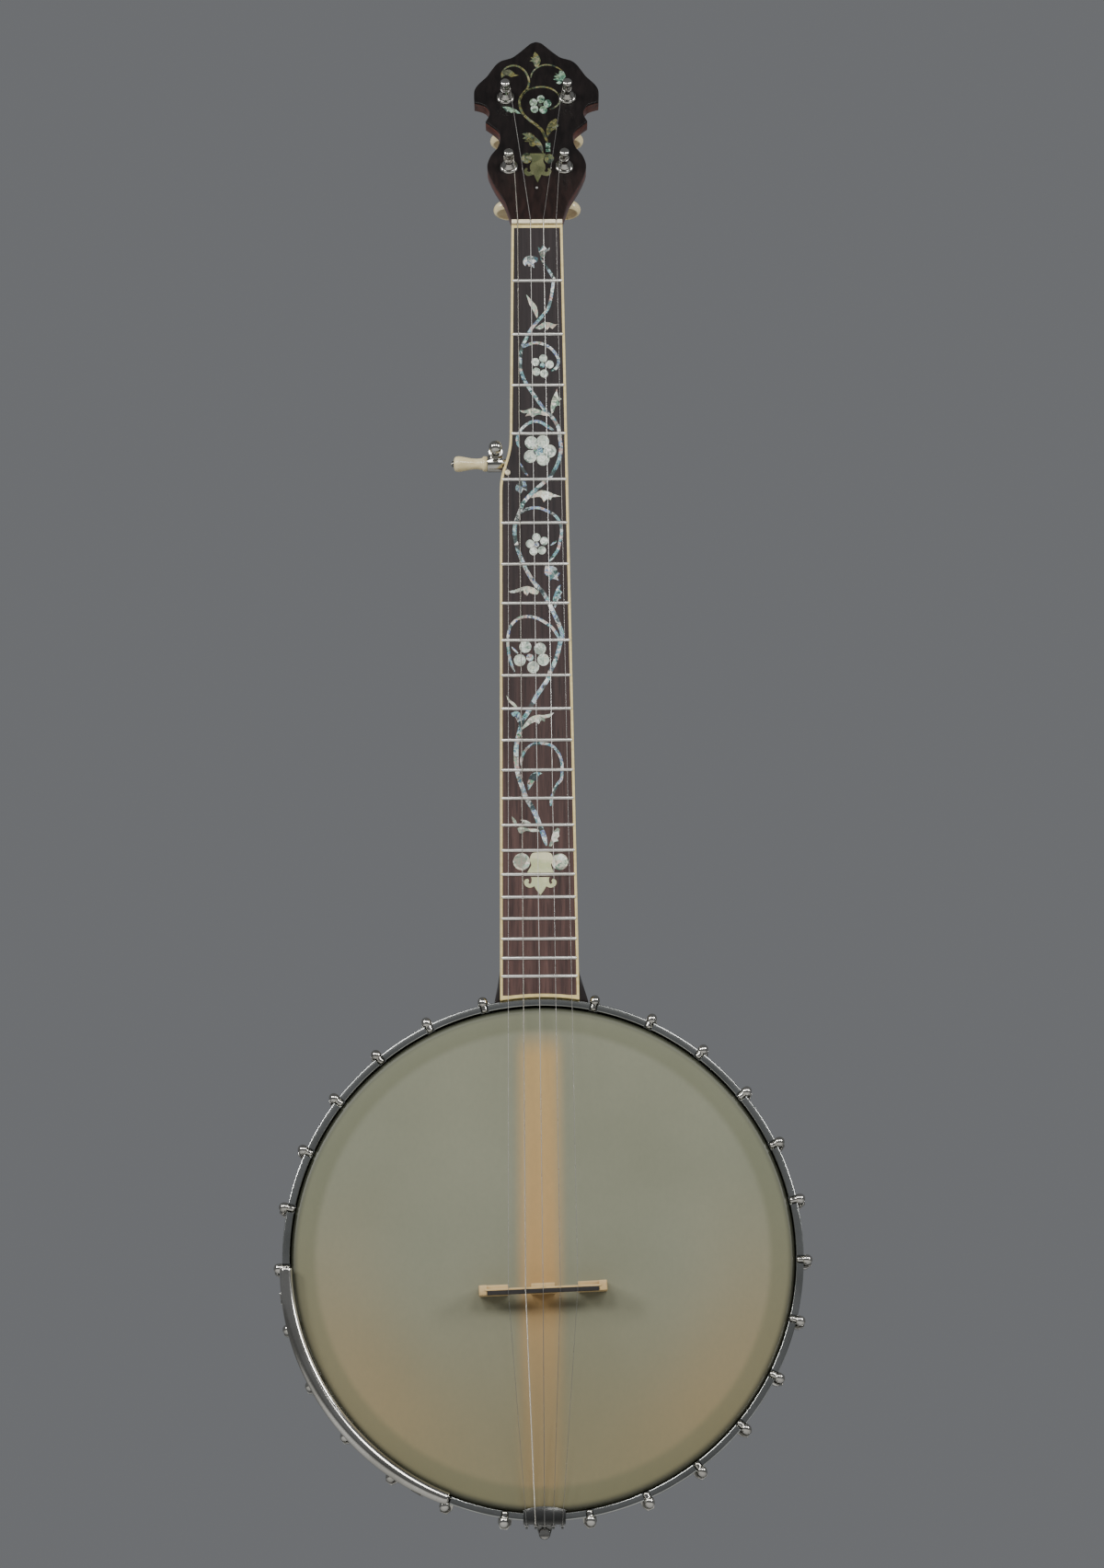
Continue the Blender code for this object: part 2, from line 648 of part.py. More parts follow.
def neck_shaft():
    """Loft from behind the nut to inside the pot, where the rim's shape is then cut away."""
    heel_start = BOARD_END - HEEL_LENGTH
    distances = [-NUT_LENGTH - VOLUTE_LENGTH, -NUT_LENGTH - VOLUTE_LENGTH / 2, -NUT_LENGTH, 0.0]
    distances += scallop_distances()
    distances += [mixed(SCALLOP_END, heel_start, 0.5)]
    heel_sections = 6
    distances += [mixed(heel_start, BOARD_END, i / heel_sections) for i in range(heel_sections + 1)]
    distances += [BOARD_END + HOOP_OUTER - RIM_RADIUS + PROUD * 2]
    shape = bmesh.new()
    rings = [[shape.verts.new(point) for point in neck_section(distance)] for distance in distances]
    for first, second in zip(rings, rings[1:]):
        for i in range(len(first)):
            j = (i + 1) % len(first)
            shape.faces.new((first[i], first[j], second[j], second[i]))
    shape.faces.new(rings[0])
    shape.faces.new(rings[-1])
    return from_bmesh("neck", shape, MAHOGANY, NECK_FRAME)


def rounded(points, per_span=2):
    """Catmull-Rom curve through the points, ends included."""
    ends = [points[0]] + list(points) + [points[-1]]
    made = []
    for a, b, c, d in zip(ends, ends[1:], ends[2:], ends[3:]):
        for i in range(per_span):
            t = i / per_span
            made.append(tuple(
                0.5 * (2 * q + (r - p) * t + (2 * p - 5 * q + 4 * r - s) * t * t + (3 * q - p - 3 * r + s) * t ** 3)
                for p, q, r, s in zip(a, b, c, d)
            ))
    return made + [points[-1]]


def headstock_outline():
    """Closed outline in (across, up), drawn round its left half and mirrored."""
    lower = rounded(HEADSTOCK_LOBE + HEADSTOCK_WAIST + [HEADSTOCK_POINT])
    middle = rounded([HEADSTOCK_POINT] + HEADSTOCK_NOTCH + [HEADSTOCK_EAR[0]])[1:]
    upper = rounded(HEADSTOCK_EAR + HEADSTOCK_CREST + [HEADSTOCK_APEX])[1:]
    half = lower + middle + upper
    left = [(-x, y) for x, y in half]
    right = [(x, y) for x, y in reversed(half[:-1])]
    return left + right


def headstock_plate(name, front, thickness, material, collection=None):
    """Plate in the headstock's frame, its face a given depth behind the headstock's face."""
    piece = plate(name, [headstock_outline()], thickness, material, HEADSTOCK_FRAME, collection)
    piece.rotation_euler = FRONT_UP
    piece.location = (0, front + thickness / 2, 0)
    return piece


def peg_places():
    """Peg number to its place across and up the headstock."""
    (low_up, low_across), (high_up, high_across) = LOWER_PEGS, UPPER_PEGS
    return {1: (low_across, low_up), 2: (high_across, high_up), 3: (-high_across, high_up), 4: (-low_across, low_up)}


def peg_holes(name):
    holes = [rod("peg_hole", (x, -PROUD, up), (x, HEADSTOCK_BACK * 2, up), PEG_SHANK_RADIUS + GAP, 14, None, None, CUTTERS)
             for x, up in peg_places().values()]
    return joined_cutter(name, holes, HEADSTOCK_FRAME)


def pot_shape_cutter():
    """The pot's outside with clearance, which the heel fits round."""
    near_rim = RIM_RADIUS + GAP
    near_band = BAND_OUTER + GAP
    flesh_end = FLESH_HOOP_BOTTOM - GAP
    band_top = -BAND_TOP + GAP
    band_bottom = -BAND_TOP - BAND_HEIGHT - GAP
    far = RIM_BOTTOM * 2
    front = HOOP_OUTER / 2
    profile = [(0.0, front), (HOOP_OUTER + 2 * GAP, front), (HOOP_OUTER + 2 * GAP, flesh_end), (near_rim, flesh_end)]
    profile += [(near_rim, band_top), (near_band, band_top), (near_band, band_bottom), (near_rim, band_bottom)]
    profile += [(near_rim, far), (0.0, far)]
    return turned("pot_shape", profile, None, POT_FRAME, RING_STEPS, collection=CUTTERS)


def make_neck():
    neck = neck_shaft()
    join(neck, headstock_plate("headstock_wood", WOOD_FACE_Y, HEADSTOCK_THICKNESS, None, CUTTERS))
    cut(neck, pot_shape_cutter())
    half = DOWEL_WIDTH / 2 + GAP
    low = (-half, RIM_RADIUS - PROUD, -DOWEL_TOP - DOWEL_DEPTH - GAP)
    high = (half, RIM_RADIUS + DOWEL_TENON + GAP, -DOWEL_TOP + GAP)
    cut(neck, box("heel_mortise", low, high, None, POT_FRAME, CUTTERS))
    cut(neck, peg_holes("neck_peg_holes"))
    low = (-NUT_WIDTH, -PROUD, -GAP)
    high = (NUT_WIDTH, NECK_TOP_Y, NUT_LENGTH + GAP)
    cut(neck, box("nut_seat", low, high, None, NECK_FRAME, CUTTERS))
    seat = FIFTH_HOUSING_SEAT - GAP
    far = FIFTH_HOUSING_SEAT + FIFTH_HOUSING_LENGTH
    centre = (FIFTH_PEG_DEPTH, -FIFTH_PEG_DISTANCE)
    pocket = rod("fifth_peg_pocket", (-seat, *centre), (-far, *centre), FIFTH_HOUSING_RADIUS + GAP, 24,
                 None, NECK_FRAME, CUTTERS)
    shank_end = FIFTH_HOUSING_SEAT - FIFTH_SHANK_LENGTH - GAP
    hole = rod("fifth_peg_hole", (-shank_end, *centre), (-far, *centre), FIFTH_SHANK_RADIUS + GAP, 12,
               None, NECK_FRAME, CUTTERS)
    cut(neck, pocket)
    return cut(neck, hole)


def fret_bar(number):
    distance = fret_distance(number)
    inset = GAP
    left = -bass_half_width(distance) + inset
    right = treble_half_width(distance) - inset
    bar = box("fret", (left, -FRET_HEIGHT, -FRET_WIDTH / 2), (right, FRET_HEIGHT / 2, FRET_WIDTH / 2),
              None, None, CUTTERS)
    for vertex in bar.data.vertices:
        if vertex.co.y < 0:
            vertex.co.z *= 0.5
            vertex.co.x *= 0.985
    bar.location = (0, 0, -distance)
    return bar


def pip_place():
    """The fifth string's little nut: across the board and distance from the nut."""
    distance = fret_distance(FIFTH_FRET) - 0.0037
    return -bass_half_width(distance) + 0.0042, distance


def fretboard_outline():
    """Closed outline in (across, up the neck)."""
    start = GAP
    left = [(-bass_half_width(start), -start)]
    left += [(-bass_half_width(distance), -distance) for distance in scallop_distances()]
    across = 8
    arc = []
    for i in range(across + 1):
        x = mixed(-BOARD_BASS_HALF_WIDTH, BOARD_TREBLE_HALF_WIDTH, i / across)
        arc.append((x, -end_arc_distance(x)))
    return left + arc + [(treble_half_width(start), -start)]


def make_fretboard():
    """Fingerboard with its frets and the fifth string's pip set in it."""
    board = plate("fretboard", [fretboard_outline()], BOARD_THICKNESS, EBONY, NECK_FRAME)
    board.rotation_euler = FRONT_UP
    board.location = (0, BOARD_THICKNESS / 2, 0)
    frets = [fret_bar(number) for number in range(1, FRET_COUNT + 1)]
    join(board, joined_cutter("frets", frets, NECK_FRAME))
    x, distance = pip_place()
    pip = rod("pip", (x, PROUD, -distance), (x, -PIP_HEIGHT, -distance), PIP_RADIUS, 10, None, NECK_FRAME, CUTTERS)
    return join(board, pip)


def make_headstock_veneer():
    veneer = headstock_plate("headstock_veneer", 0.0, VENEER_THICKNESS, VENEER)
    return cut(veneer, peg_holes("veneer_peg_holes"))


def string_across_nut(number):
    return (2.5 - number) * -NUT_STRING_SPACING


def make_nut():
    half = NUT_WIDTH / 2
    rise = STRING_OVER_BOARD + STRING_DIAMETERS[4]
    low = (-half, -rise, 0.0)
    high = (half, BOARD_THICKNESS, NUT_LENGTH)
    nut = box("nut", low, high, BONE, NECK_FRAME)
    slots = []
    for number in range(1, 5):
        x = -string_across_nut(number)
        radius = STRING_DIAMETERS[number] / 2
        floor = -STRING_OVER_BOARD + radius + GAP
        slots.append(box("slot", (x - NUT_SLOT_WIDTH / 2, -rise - PROUD, -PROUD),
                         (x + NUT_SLOT_WIDTH / 2, floor, NUT_LENGTH + PROUD), None, None, CUTTERS))
    return cut(nut, joined_cutter("nut_slots", slots, NECK_FRAME))


def bridge_outline():
    """Front view in (across, height): three feet, two arches and a flat back for the cap."""
    half = BRIDGE_LENGTH / 2
    foot = half * 0.45
    middle = half * 0.19
    arch = BRIDGE_HEIGHT * BRIDGE_ARCH_SHARE
    wood = BRIDGE_HEIGHT - BRIDGE_CAP_HEIGHT * 0.5
    right = [(middle, 0.0), (middle + 0.003, arch), (half - foot - 0.003, arch), (half - foot, 0.0), (half, 0.0)]
    right += [(half, arch * 0.9), (half * 0.93, wood * 0.86), (BRIDGE_CAP_LENGTH / 2 * 0.97, wood)]
    left = [(-x, y) for x, y in reversed(right)]
    return [(x, y + GAP) for x, y in right + left]


def make_bridge():
    """Three-footed bridge with its cap. Its tail face is upright and its neck face slopes."""
    bridge = plate("bridge", [bridge_outline()], BRIDGE_FOOT_THICKNESS, BRIDGE_MAPLE, POT_FRAME)
    tail_face = BRIDGE_FOOT_THICKNESS / 2
    for vertex in bridge.data.vertices:
        if vertex.co.z < 0:
            share = vertex.co.y / BRIDGE_HEIGHT
            vertex.co.z += (BRIDGE_FOOT_THICKNESS - BRIDGE_TOP_THICKNESS * 0.93) * share
    bridge.rotation_euler = (math.pi / 2, 0, BRIDGE_SLANT)
    bridge.location = (0, BRIDGE_UP + bridge_top_offset(), 0)
    low = (-BRIDGE_CAP_LENGTH / 2, BRIDGE_HEIGHT - BRIDGE_CAP_HEIGHT, tail_face - BRIDGE_TOP_THICKNESS)
    high = (BRIDGE_CAP_LENGTH / 2, BRIDGE_HEIGHT, tail_face + GAP / 2)
    cap = box("bridge_cap", low, high, None, POT_FRAME, CUTTERS)
    cap.matrix_basis = Matrix.Translation(bridge.location) @ bridge.rotation_euler.to_matrix().to_4x4()
    return join(bridge, cap)


def bridge_top_offset():
    """How far the middle of the cap lies towards the tail from the bridge's own middle."""
    return (BRIDGE_FOOT_THICKNESS - BRIDGE_TOP_THICKNESS) / 2


def string_place(number):
    """Place in the row of five, counted from the middle string."""
    return (5, 4, 3, 2, 1).index(number) - 2


def tail_point(radius, height, across=0.0):
    """Point in the pot's frame at the tail: distance from the axis, and distance in front."""
    return Vector((across, -radius, height))


def tail_plate(name, outline, top, collection=None):
    piece = plate(name, [outline], TAILPIECE_THICKNESS, NICKEL, POT_FRAME, collection)
    piece.location = (0, 0, top - TAILPIECE_THICKNESS / 2)
    return piece


TAIL_UNDERSIDE = HOOP_RISE + GAP
TAIL_TOP = TAIL_UNDERSIDE + TAILPIECE_THICKNESS
SKIRT_INNER = HOOP_OUTER + 2 * GAP
SKIRT_OUTER = SKIRT_INNER + TAILPIECE_THICKNESS
SKIRT_BOTTOM = -TAILPIECE_SKIRT
TAIL_BOLT_DISTANCE = SKIRT_OUTER + TAIL_BOLT_STANDOFF
TAIL_PEG_HEIGHT = SKIRT_BOTTOM * 0.45


def make_tailpiece():
    """Plate over the hoop, bent down outside it, with pegs for the strings and a bolt tongue."""
    half = TAILPIECE_WIDTH / 2
    front = -HOOP_OUTER + TAILPIECE_REACH
    arc = [(half * share, front + TAILPIECE_BULGE * (1 - share * share)) for share in (1, 0.6, 0.2, -0.2, -0.6, -1)]
    outline = [(-half, -SKIRT_OUTER), (half, -SKIRT_OUTER)] + arc
    tailpiece = tail_plate("tailpiece", outline, TAIL_TOP)
    low = (-half * 0.97, -SKIRT_OUTER + TAILPIECE_THICKNESS * 0.02, SKIRT_BOTTOM)
    high = (half * 0.97, -SKIRT_INNER, TAIL_TOP - TAILPIECE_THICKNESS * 0.1)
    join(tailpiece, box("tailpiece_skirt", low, high, None, POT_FRAME, CUTTERS))
    radius = TAIL_TONGUE_RADIUS
    tongue = [(radius * math.cos(a), -TAIL_BOLT_DISTANCE - radius * math.sin(a))
              for a in (math.pi * i / 8 for i in range(9))]
    tongue += [(-radius * 1.6, -SKIRT_INNER - TAILPIECE_THICKNESS * 0.4)]
    tongue += [(radius * 1.6, -SKIRT_INNER - TAILPIECE_THICKNESS * 0.4)]
    join(tailpiece, tail_plate("tailpiece_tongue", tongue, SKIRT_BOTTOM + TAILPIECE_THICKNESS * 1.1, CUTTERS))
    pegs = []
    for number in STRING_NUMBERS:
        x = string_place(number) * TAIL_STRING_SPACING
        start = tail_point(SKIRT_OUTER - TAILPIECE_THICKNESS / 2, TAIL_PEG_HEIGHT, x)
        end = tail_point(SKIRT_OUTER + TAIL_PEG_LENGTH, TAIL_PEG_HEIGHT, x)
        pegs.append(rod("peg", start, end, TAIL_PEG_RADIUS, 6, None, None, CUTTERS))
    join(tailpiece, joined_cutter("tail_pegs", pegs, POT_FRAME))
    hole = rod("tailpiece_hole", tail_point(TAIL_BOLT_DISTANCE, SKIRT_BOTTOM - PROUD),
               tail_point(TAIL_BOLT_DISTANCE, SKIRT_BOTTOM + 2 * PROUD), TAIL_BOLT_RADIUS + GAP, 12,
               None, POT_FRAME, CUTTERS)
    return cut(tailpiece, hole)


def make_tailpiece_bolt():
    """Hanger from the rim's tail, bent up through the tongue to a round head, with a nut below."""
    bend = TAIL_BOLT_RADIUS * 2
    top = SKIRT_BOTTOM + TAILPIECE_THICKNESS * 1.1 + GAP
    centre = TAIL_BOLT_DISTANCE
    points = [
        Vector((0, dowel_tail() + TAIL_BOLT_GRIP, -TAIL_BOLT_DEPTH)),
        tail_point(centre - bend, -TAIL_BOLT_DEPTH),
        tail_point(centre - bend * 0.3, -TAIL_BOLT_DEPTH + bend * 0.3),
        tail_point(centre, -TAIL_BOLT_DEPTH + bend),
        tail_point(centre, top + TAIL_BOLT_RADIUS / 2),
    ]
    bolt = tube("tailpiece_bolt", points, TAIL_BOLT_RADIUS, 3, NICKEL, POT_FRAME)
    head = rod("tailpiece_bolt_head", tail_point(centre, top), tail_point(centre, top + TAIL_BOLT_RADIUS * 1.3),
               TAIL_BOLT_HEAD_RADIUS, 12, None, POT_FRAME, CUTTERS)
    join(bolt, head)
    nut_top = SKIRT_BOTTOM + TAILPIECE_THICKNESS * 0.1 - GAP
    nut = rod("tailpiece_bolt_nut", tail_point(centre, nut_top), tail_point(centre, nut_top - TAIL_BOLT_RADIUS * 2),
              TAIL_BOLT_HEAD_RADIUS, 6, None, POT_FRAME, CUTTERS)
    return join(bolt, nut)


def armrest_ring(angle):
    """Half-round section of the armrest at a clock angle, in the pot's frame."""
    share = (angle - ARMREST_START) / (ARMREST_END - ARMREST_START)
    width = mixed(ARMREST_END_WIDTH, ARMREST_MIDDLE_WIDTH, math.sin(math.pi * share) ** 0.6)
    across, up = clock_direction(angle)
    bottom = armrest_bottom()
    section = [(0.0, 0.0), (0.0, 0.35), (0.18, 0.8), (0.5, 1.0), (0.82, 0.8), (1.0, 0.35), (1.0, 0.0)]
    ring = []
    for out, height in section:
        radius = ARMREST_INNER_RADIUS + out * width
        ring.append((radius * across, radius * up, bottom + height * ARMREST_THICKNESS))
    return ring


def armrest_bottom():
    knuckle_top = hook_claw_height() + HOOK_WIRE / 2 * HOOK_KNUCKLE
    return knuckle_top + ARMREST_CLEARANCE


def armrest_foot(name, angle):
    """Strap down the outside of the hoop, turned in under the flesh hoop."""
    half = ARMREST_FOOT_WIDTH / 2
    inner = HOOP_OUTER + GAP + PROUD / 4
    outer = inner + ARMREST_FOOT_THICKNESS
    tab_top = FLESH_HOOP_BOTTOM - GAP
    tab_bottom = tab_top - ARMREST_FOOT_THICKNESS
    tab_inner = RIM_RADIUS + PROUD
    top = armrest_bottom() + ARMREST_THICKNESS * 0.4
    profile = [(inner, top), (inner, tab_top), (tab_inner, tab_top), (tab_inner, tab_bottom)]
    profile += [(outer, tab_bottom), (outer, top)]
    foot = plate(name, [profile], 2 * half, None, POT_FRAME, CUTTERS)
    foot.matrix_basis = Matrix.Rotation(math.pi / 2 - angle, 4, "Z") @ Matrix.Rotation(math.pi / 2, 4, "X")
    return foot


def make_armrest():
    steps = 20
    shape = bmesh.new()
    rings = []
    for i in range(steps + 1):
        angle = mixed(ARMREST_START, ARMREST_END, i / steps)
        rings.append([shape.verts.new(point) for point in armrest_ring(angle)])
    for first, second in zip(rings, rings[1:]):
        for i in range(len(first)):
            j = (i + 1) % len(first)
            shape.faces.new((first[i], first[j], second[j], second[i]))
    shape.faces.new(rings[0])
    shape.faces.new(rings[-1])
    armrest = from_bmesh("armrest", shape, NICKEL, POT_FRAME)
    angles = hook_angles()
    first_passed = bisect.bisect_right(angles, ARMREST_START)
    last_passed = bisect.bisect_left(angles, ARMREST_END) - 1
    for name, place in (("armrest_lower_foot", first_passed), ("armrest_upper_foot", last_passed - 1)):
        join(armrest, armrest_foot(name, (angles[place] + angles[place + 1]) / 2))
    return armrest


def peg_frame(number, across, up):
    return frame_empty(f"peg_{number}_axis", (across, 0, up), FRONT_UP, HEADSTOCK_FRAME)


def make_peg_housing(number, axis):
    """Bushing and washer in front, geared barrel behind, bored right through."""
    back = -HEADSTOCK_BACK - GAP
    barrel_end = back - PEG_BARREL_LENGTH
    profile = [
        (PEG_BORE_RADIUS, 0.0016), (PEG_WASHER_RADIUS * 0.8, 0.0016), (PEG_WASHER_RADIUS, GAP),
        (PEG_SHANK_RADIUS, GAP), (PEG_SHANK_RADIUS, back), (PEG_BARREL_RADIUS, back),
        (PEG_BARREL_RADIUS, barrel_end + 0.004), (PEG_BARREL_RADIUS * 0.7, barrel_end), (PEG_BORE_RADIUS, barrel_end),
    ]
    return turned(f"peg_{number}_housing", profile, NICKEL, axis, 14, ring=True)


def post_profile(waist, foot, cap, height):
    """String post from its rounded top down to the flare above the bushing."""
    return [
        (0.0, height), (cap * 0.7, height - 0.0003), (cap, height - 0.0016), (cap * 0.9, height - 0.003),
        (waist, height - 0.0042), (waist, 0.0062), (foot * 0.6, 0.0042), (foot, 0.0022), (foot, 0.0019),
    ]


def make_peg_post(number, axis):
    stem = PEG_BORE_RADIUS - GAP
    profile = post_profile(PEG_WAIST_RADIUS, PEG_WASHER_RADIUS * 0.85, PEG_WAIST_RADIUS * 1.3, PEG_POST_HEIGHT)
    profile += [(stem, 0.0019), (stem, -0.009), (0.0, -0.009)]
    return turned(f"peg_{number}_post", profile, NICKEL, axis, 12)


def button_cage(name, width, thickness, low, high, axis):
    """Rounded, flattened grip from a coarse cage."""
    button = box(name, (-width / 2, -thickness / 2, low), (width / 2, thickness / 2, high), CREAM, axis)
    for vertex in button.data.vertices:
        if vertex.co.z > (low + high) / 2:
            vertex.co.x *= 0.8
    smooth = button.modifiers.new("rounding", "SUBSURF")
    smooth.levels = 2
    smooth.render_levels = 2
    return button


def make_peg_button(number, axis):
    stem = PEG_BORE_RADIUS - GAP
    swell = 1.28
    middle = -PEG_BUTTON_DISTANCE
    half = PEG_BUTTON_LENGTH / 2 * swell
    button = button_cage(f"peg_{number}_button", PEG_BUTTON_WIDTH * swell, PEG_BUTTON_THICKNESS * swell,
                         middle - half, middle + half, axis)
    start = -HEADSTOCK_BACK - PEG_BARREL_LENGTH * 0.55
    shaft = rod(f"peg_{number}_button_shaft", (0, 0, start), (0, 0, middle), stem, 12, None, axis, CUTTERS)
    return join(button, shaft)


def make_pegs():
    for number, (across, up) in peg_places().items():
        axis = peg_frame(number, across, up)
        make_peg_housing(number, axis)
        make_peg_post(number, axis)
        make_peg_button(number, axis)


def fifth_post_place():
    across = -FIFTH_HOUSING_SEAT - FIFTH_CASE_RADIUS
    return across, -FIFTH_PEG_DISTANCE + FIFTH_POST_OFFSET


FIFTH_CASE_FRONT = FIFTH_PEG_DEPTH - FIFTH_HOUSING_RADIUS - FIFTH_CASE_RISE


def make_fifth_peg_housing():
    """Case on the neck's side: a barrel along the button's axis and a round case for the post."""
    seat = -FIFTH_HOUSING_SEAT
    end = seat - FIFTH_HOUSING_LENGTH
    centre = (FIFTH_PEG_DEPTH, -FIFTH_PEG_DISTANCE)
    housing = rod("fifth_peg_housing", (seat, *centre), (end, *centre), FIFTH_HOUSING_RADIUS, 20, NICKEL, NECK_FRAME)
    shank_end = seat + FIFTH_SHANK_LENGTH
    join(housing, rod("fifth_shank", (seat - PROUD, *centre), (shank_end, *centre), FIFTH_SHANK_RADIUS, 12,
                      None, NECK_FRAME, CUTTERS))
    across, up = fifth_post_place()
    case_back = FIFTH_PEG_DEPTH + FIFTH_HOUSING_RADIUS * 0.8
    join(housing, rod("fifth_case", (across, FIFTH_CASE_FRONT, up), (across, case_back, up), FIFTH_CASE_RADIUS, 18,
                      None, NECK_FRAME, CUTTERS))
    bore_end = FIFTH_CASE_FRONT + FIFTH_STEM_LENGTH + GAP
    cut(housing, rod("fifth_post_bore", (across, FIFTH_CASE_FRONT - PROUD, up), (across, bore_end, up),
                     FIFTH_POST_RADIUS + GAP, 12, None, NECK_FRAME, CUTTERS))
    cut(housing, rod("fifth_button_bore", (end - PROUD, *centre), (end + FIFTH_SHAFT_LENGTH + GAP, *centre),
                     FIFTH_POST_RADIUS + GAP, 12, None, NECK_FRAME, CUTTERS))


def make_fifth_peg_post():
    across, up = fifth_post_place()
    axis = frame_empty("fifth_peg_post_axis", (across, FIFTH_CASE_FRONT, up), FRONT_UP, NECK_FRAME)
    radius = FIFTH_BALL_RADIUS
    waist = math.asin(FIFTH_POST_RADIUS / radius)
    steps = 6
    ball = []
    for i in range(steps + 1):
        angle = mixed(0.0, math.pi - waist, i / steps)
        ball.append((radius * math.sin(angle), FIFTH_BALL_HEIGHT + radius * math.cos(angle)))
    profile = ball + [(FIFTH_POST_RADIUS, -FIFTH_STEM_LENGTH), (0.0, -FIFTH_STEM_LENGTH)]
    turned("fifth_peg_post", profile, NICKEL, axis, 14)


def make_fifth_peg_button():
    """Grip with a waist and a collar. Radii are shares of the widest, from the end inwards."""
    end = -FIFTH_HOUSING_SEAT - FIFTH_HOUSING_LENGTH
    axis = frame_empty("fifth_peg_button_axis", (end, FIFTH_PEG_DEPTH, -FIFTH_PEG_DISTANCE),
                       (0, -math.pi / 2, 0), NECK_FRAME)
    shape = [(0.0, 1.0), (0.45, 0.985), (0.82, 0.91), (1.0, 0.78), (0.86, 0.62), (0.68, 0.48), (0.72, 0.36),
             (0.92, 0.24), (1.0, 0.17)]
    profile = [(share * FIFTH_BUTTON_RADIUS, place * FIFTH_BUTTON_LENGTH) for share, place in shape]
    profile += [(FIFTH_BUTTON_RADIUS, GAP), (FIFTH_POST_RADIUS, GAP)]
    profile += [(FIFTH_POST_RADIUS, -FIFTH_SHAFT_LENGTH), (0.0, -FIFTH_SHAFT_LENGTH)]
    turned("fifth_peg_button", profile, CREAM, axis, 14)


def make_fifth_peg():
    make_fifth_peg_housing()
    make_fifth_peg_post()
    make_fifth_peg_button()


def to_world(frame, point):
    bpy.context.view_layer.update()
    return frame.matrix_world @ Vector(point)


def winding(centre, radius, pitch, from_side, towards, height):
    """Turns round a post in its (across, up, front) frame, from where the string arrives."""
    reach = Vector(towards) - Vector(centre)
    aim = math.atan2(reach.y, reach.x)
    start = aim + from_side * math.acos(radius / reach.length)
    count = WINDING_TURNS * WINDING_POINTS
    points = []
    for i in range(count + 1):
        angle = start + from_side * 2 * math.pi * i / WINDING_POINTS
        front = height - pitch * i / WINDING_POINTS
        points.append((centre[0] + radius * math.cos(angle), centre[1] + radius * math.sin(angle), front))
    return points


def least_gap_to_itself(points, radius):
    """Smallest distance between turns that aren't neighbours, less the string's thickness."""
    least = math.inf
    for i, first in enumerate(points):
        for second in points[i + WINDING_POINTS // 2:]:
            least = min(least, (Vector(first) - Vector(second)).length)
    return least - 2 * radius


def string_run(number, from_nut):
    """World points over the bridge and down to the string's peg on the tailpiece."""
    radius = STRING_DIAMETERS[number] / 2
    place = string_place(number)
    bridge_x = place * BRIDGE_STRING_SPACING
    bridge_y = BRIDGE_UP + bridge_x * math.sin(BRIDGE_SLANT)
    over_tail = TAIL_TOP + GAP + radius
    skirt = SKIRT_OUTER + GAP + radius
    stop = TAIL_PEG_HEIGHT + TAIL_PEG_RADIUS + GAP + radius
    front = -HOOP_OUTER + TAILPIECE_REACH + TAILPIECE_BULGE
    turn = 3 * GAP

    def along(y):
        share = (y + skirt) / (bridge_y + skirt)
        return place * mixed(TAIL_STRING_SPACING, BRIDGE_STRING_SPACING, share)

    pot_points = [
        (bridge_x, bridge_y, BRIDGE_HEIGHT + 2 * GAP + radius),
        (along(front), front, over_tail),
        (along(-skirt + turn), -skirt + turn, over_tail),
        (along(-skirt), -skirt, over_tail - turn),
        (along(-skirt), -skirt, stop),
    ]
    return from_nut + [to_world(POT_FRAME, point) for point in pot_points]


def make_long_strings():
    for number in range(1, 5):
        radius = STRING_DIAMETERS[number] / 2
        across, up = peg_places()[number]
        side = 1 if across < 0 else -1
        nut_x = -string_across_nut(number)
        back_of_nut = to_world(NECK_FRAME, (nut_x, -STRING_OVER_BOARD, NUT_LENGTH))
        seen = HEADSTOCK_FRAME.matrix_world.inverted() @ back_of_nut
        pitch = 2 * radius + WINDING_GAP
        turns = winding((across, up), PEG_WAIST_RADIUS + GAP + radius, pitch, side, (seen.x, seen.z), 0.0108)
        gap = least_gap_to_itself(turns, radius)
        print(f"string {number}: least gap of its winding to itself {gap * 1000:.2f} mm")
        coil = [to_world(HEADSTOCK_FRAME, (x, -front, z)) for x, z, front in reversed(turns)]
        front_of_nut = to_world(NECK_FRAME, (nut_x, -STRING_OVER_BOARD, 0.0))
        points = string_run(number, coil + [back_of_nut, front_of_nut])
        material = BRONZE if number == 4 else STEEL
        tube(f"string_{number}", points, radius, 1, material, None)


def make_fifth_string():
    radius = STRING_DIAMETERS[5] / 2
    post_across, post_up = fifth_post_place()
    pip_x, pip_distance = pip_place()
    on_pip = PIP_HEIGHT + GAP + radius
    pitch = 2 * radius + WINDING_GAP
    height = FIFTH_BALL_HEIGHT - FIFTH_BALL_RADIUS - FIFTH_CASE_FRONT - 2 * GAP
    turns = winding((post_across, post_up), FIFTH_POST_RADIUS + GAP + radius, pitch, 1,
                    (pip_x, -pip_distance), height)
    gap = least_gap_to_itself(turns, radius)
    print(f"string 5: least gap of its winding to itself {gap * 1000:.2f} mm")
    coil = [to_world(NECK_FRAME, (x, -front, z)) for x, z, front in reversed(turns)]
    pip = to_world(NECK_FRAME, (pip_x, -on_pip, -pip_distance))
    tube("string_5", string_run(5, coil + [pip]), radius, 1, STEEL, None)


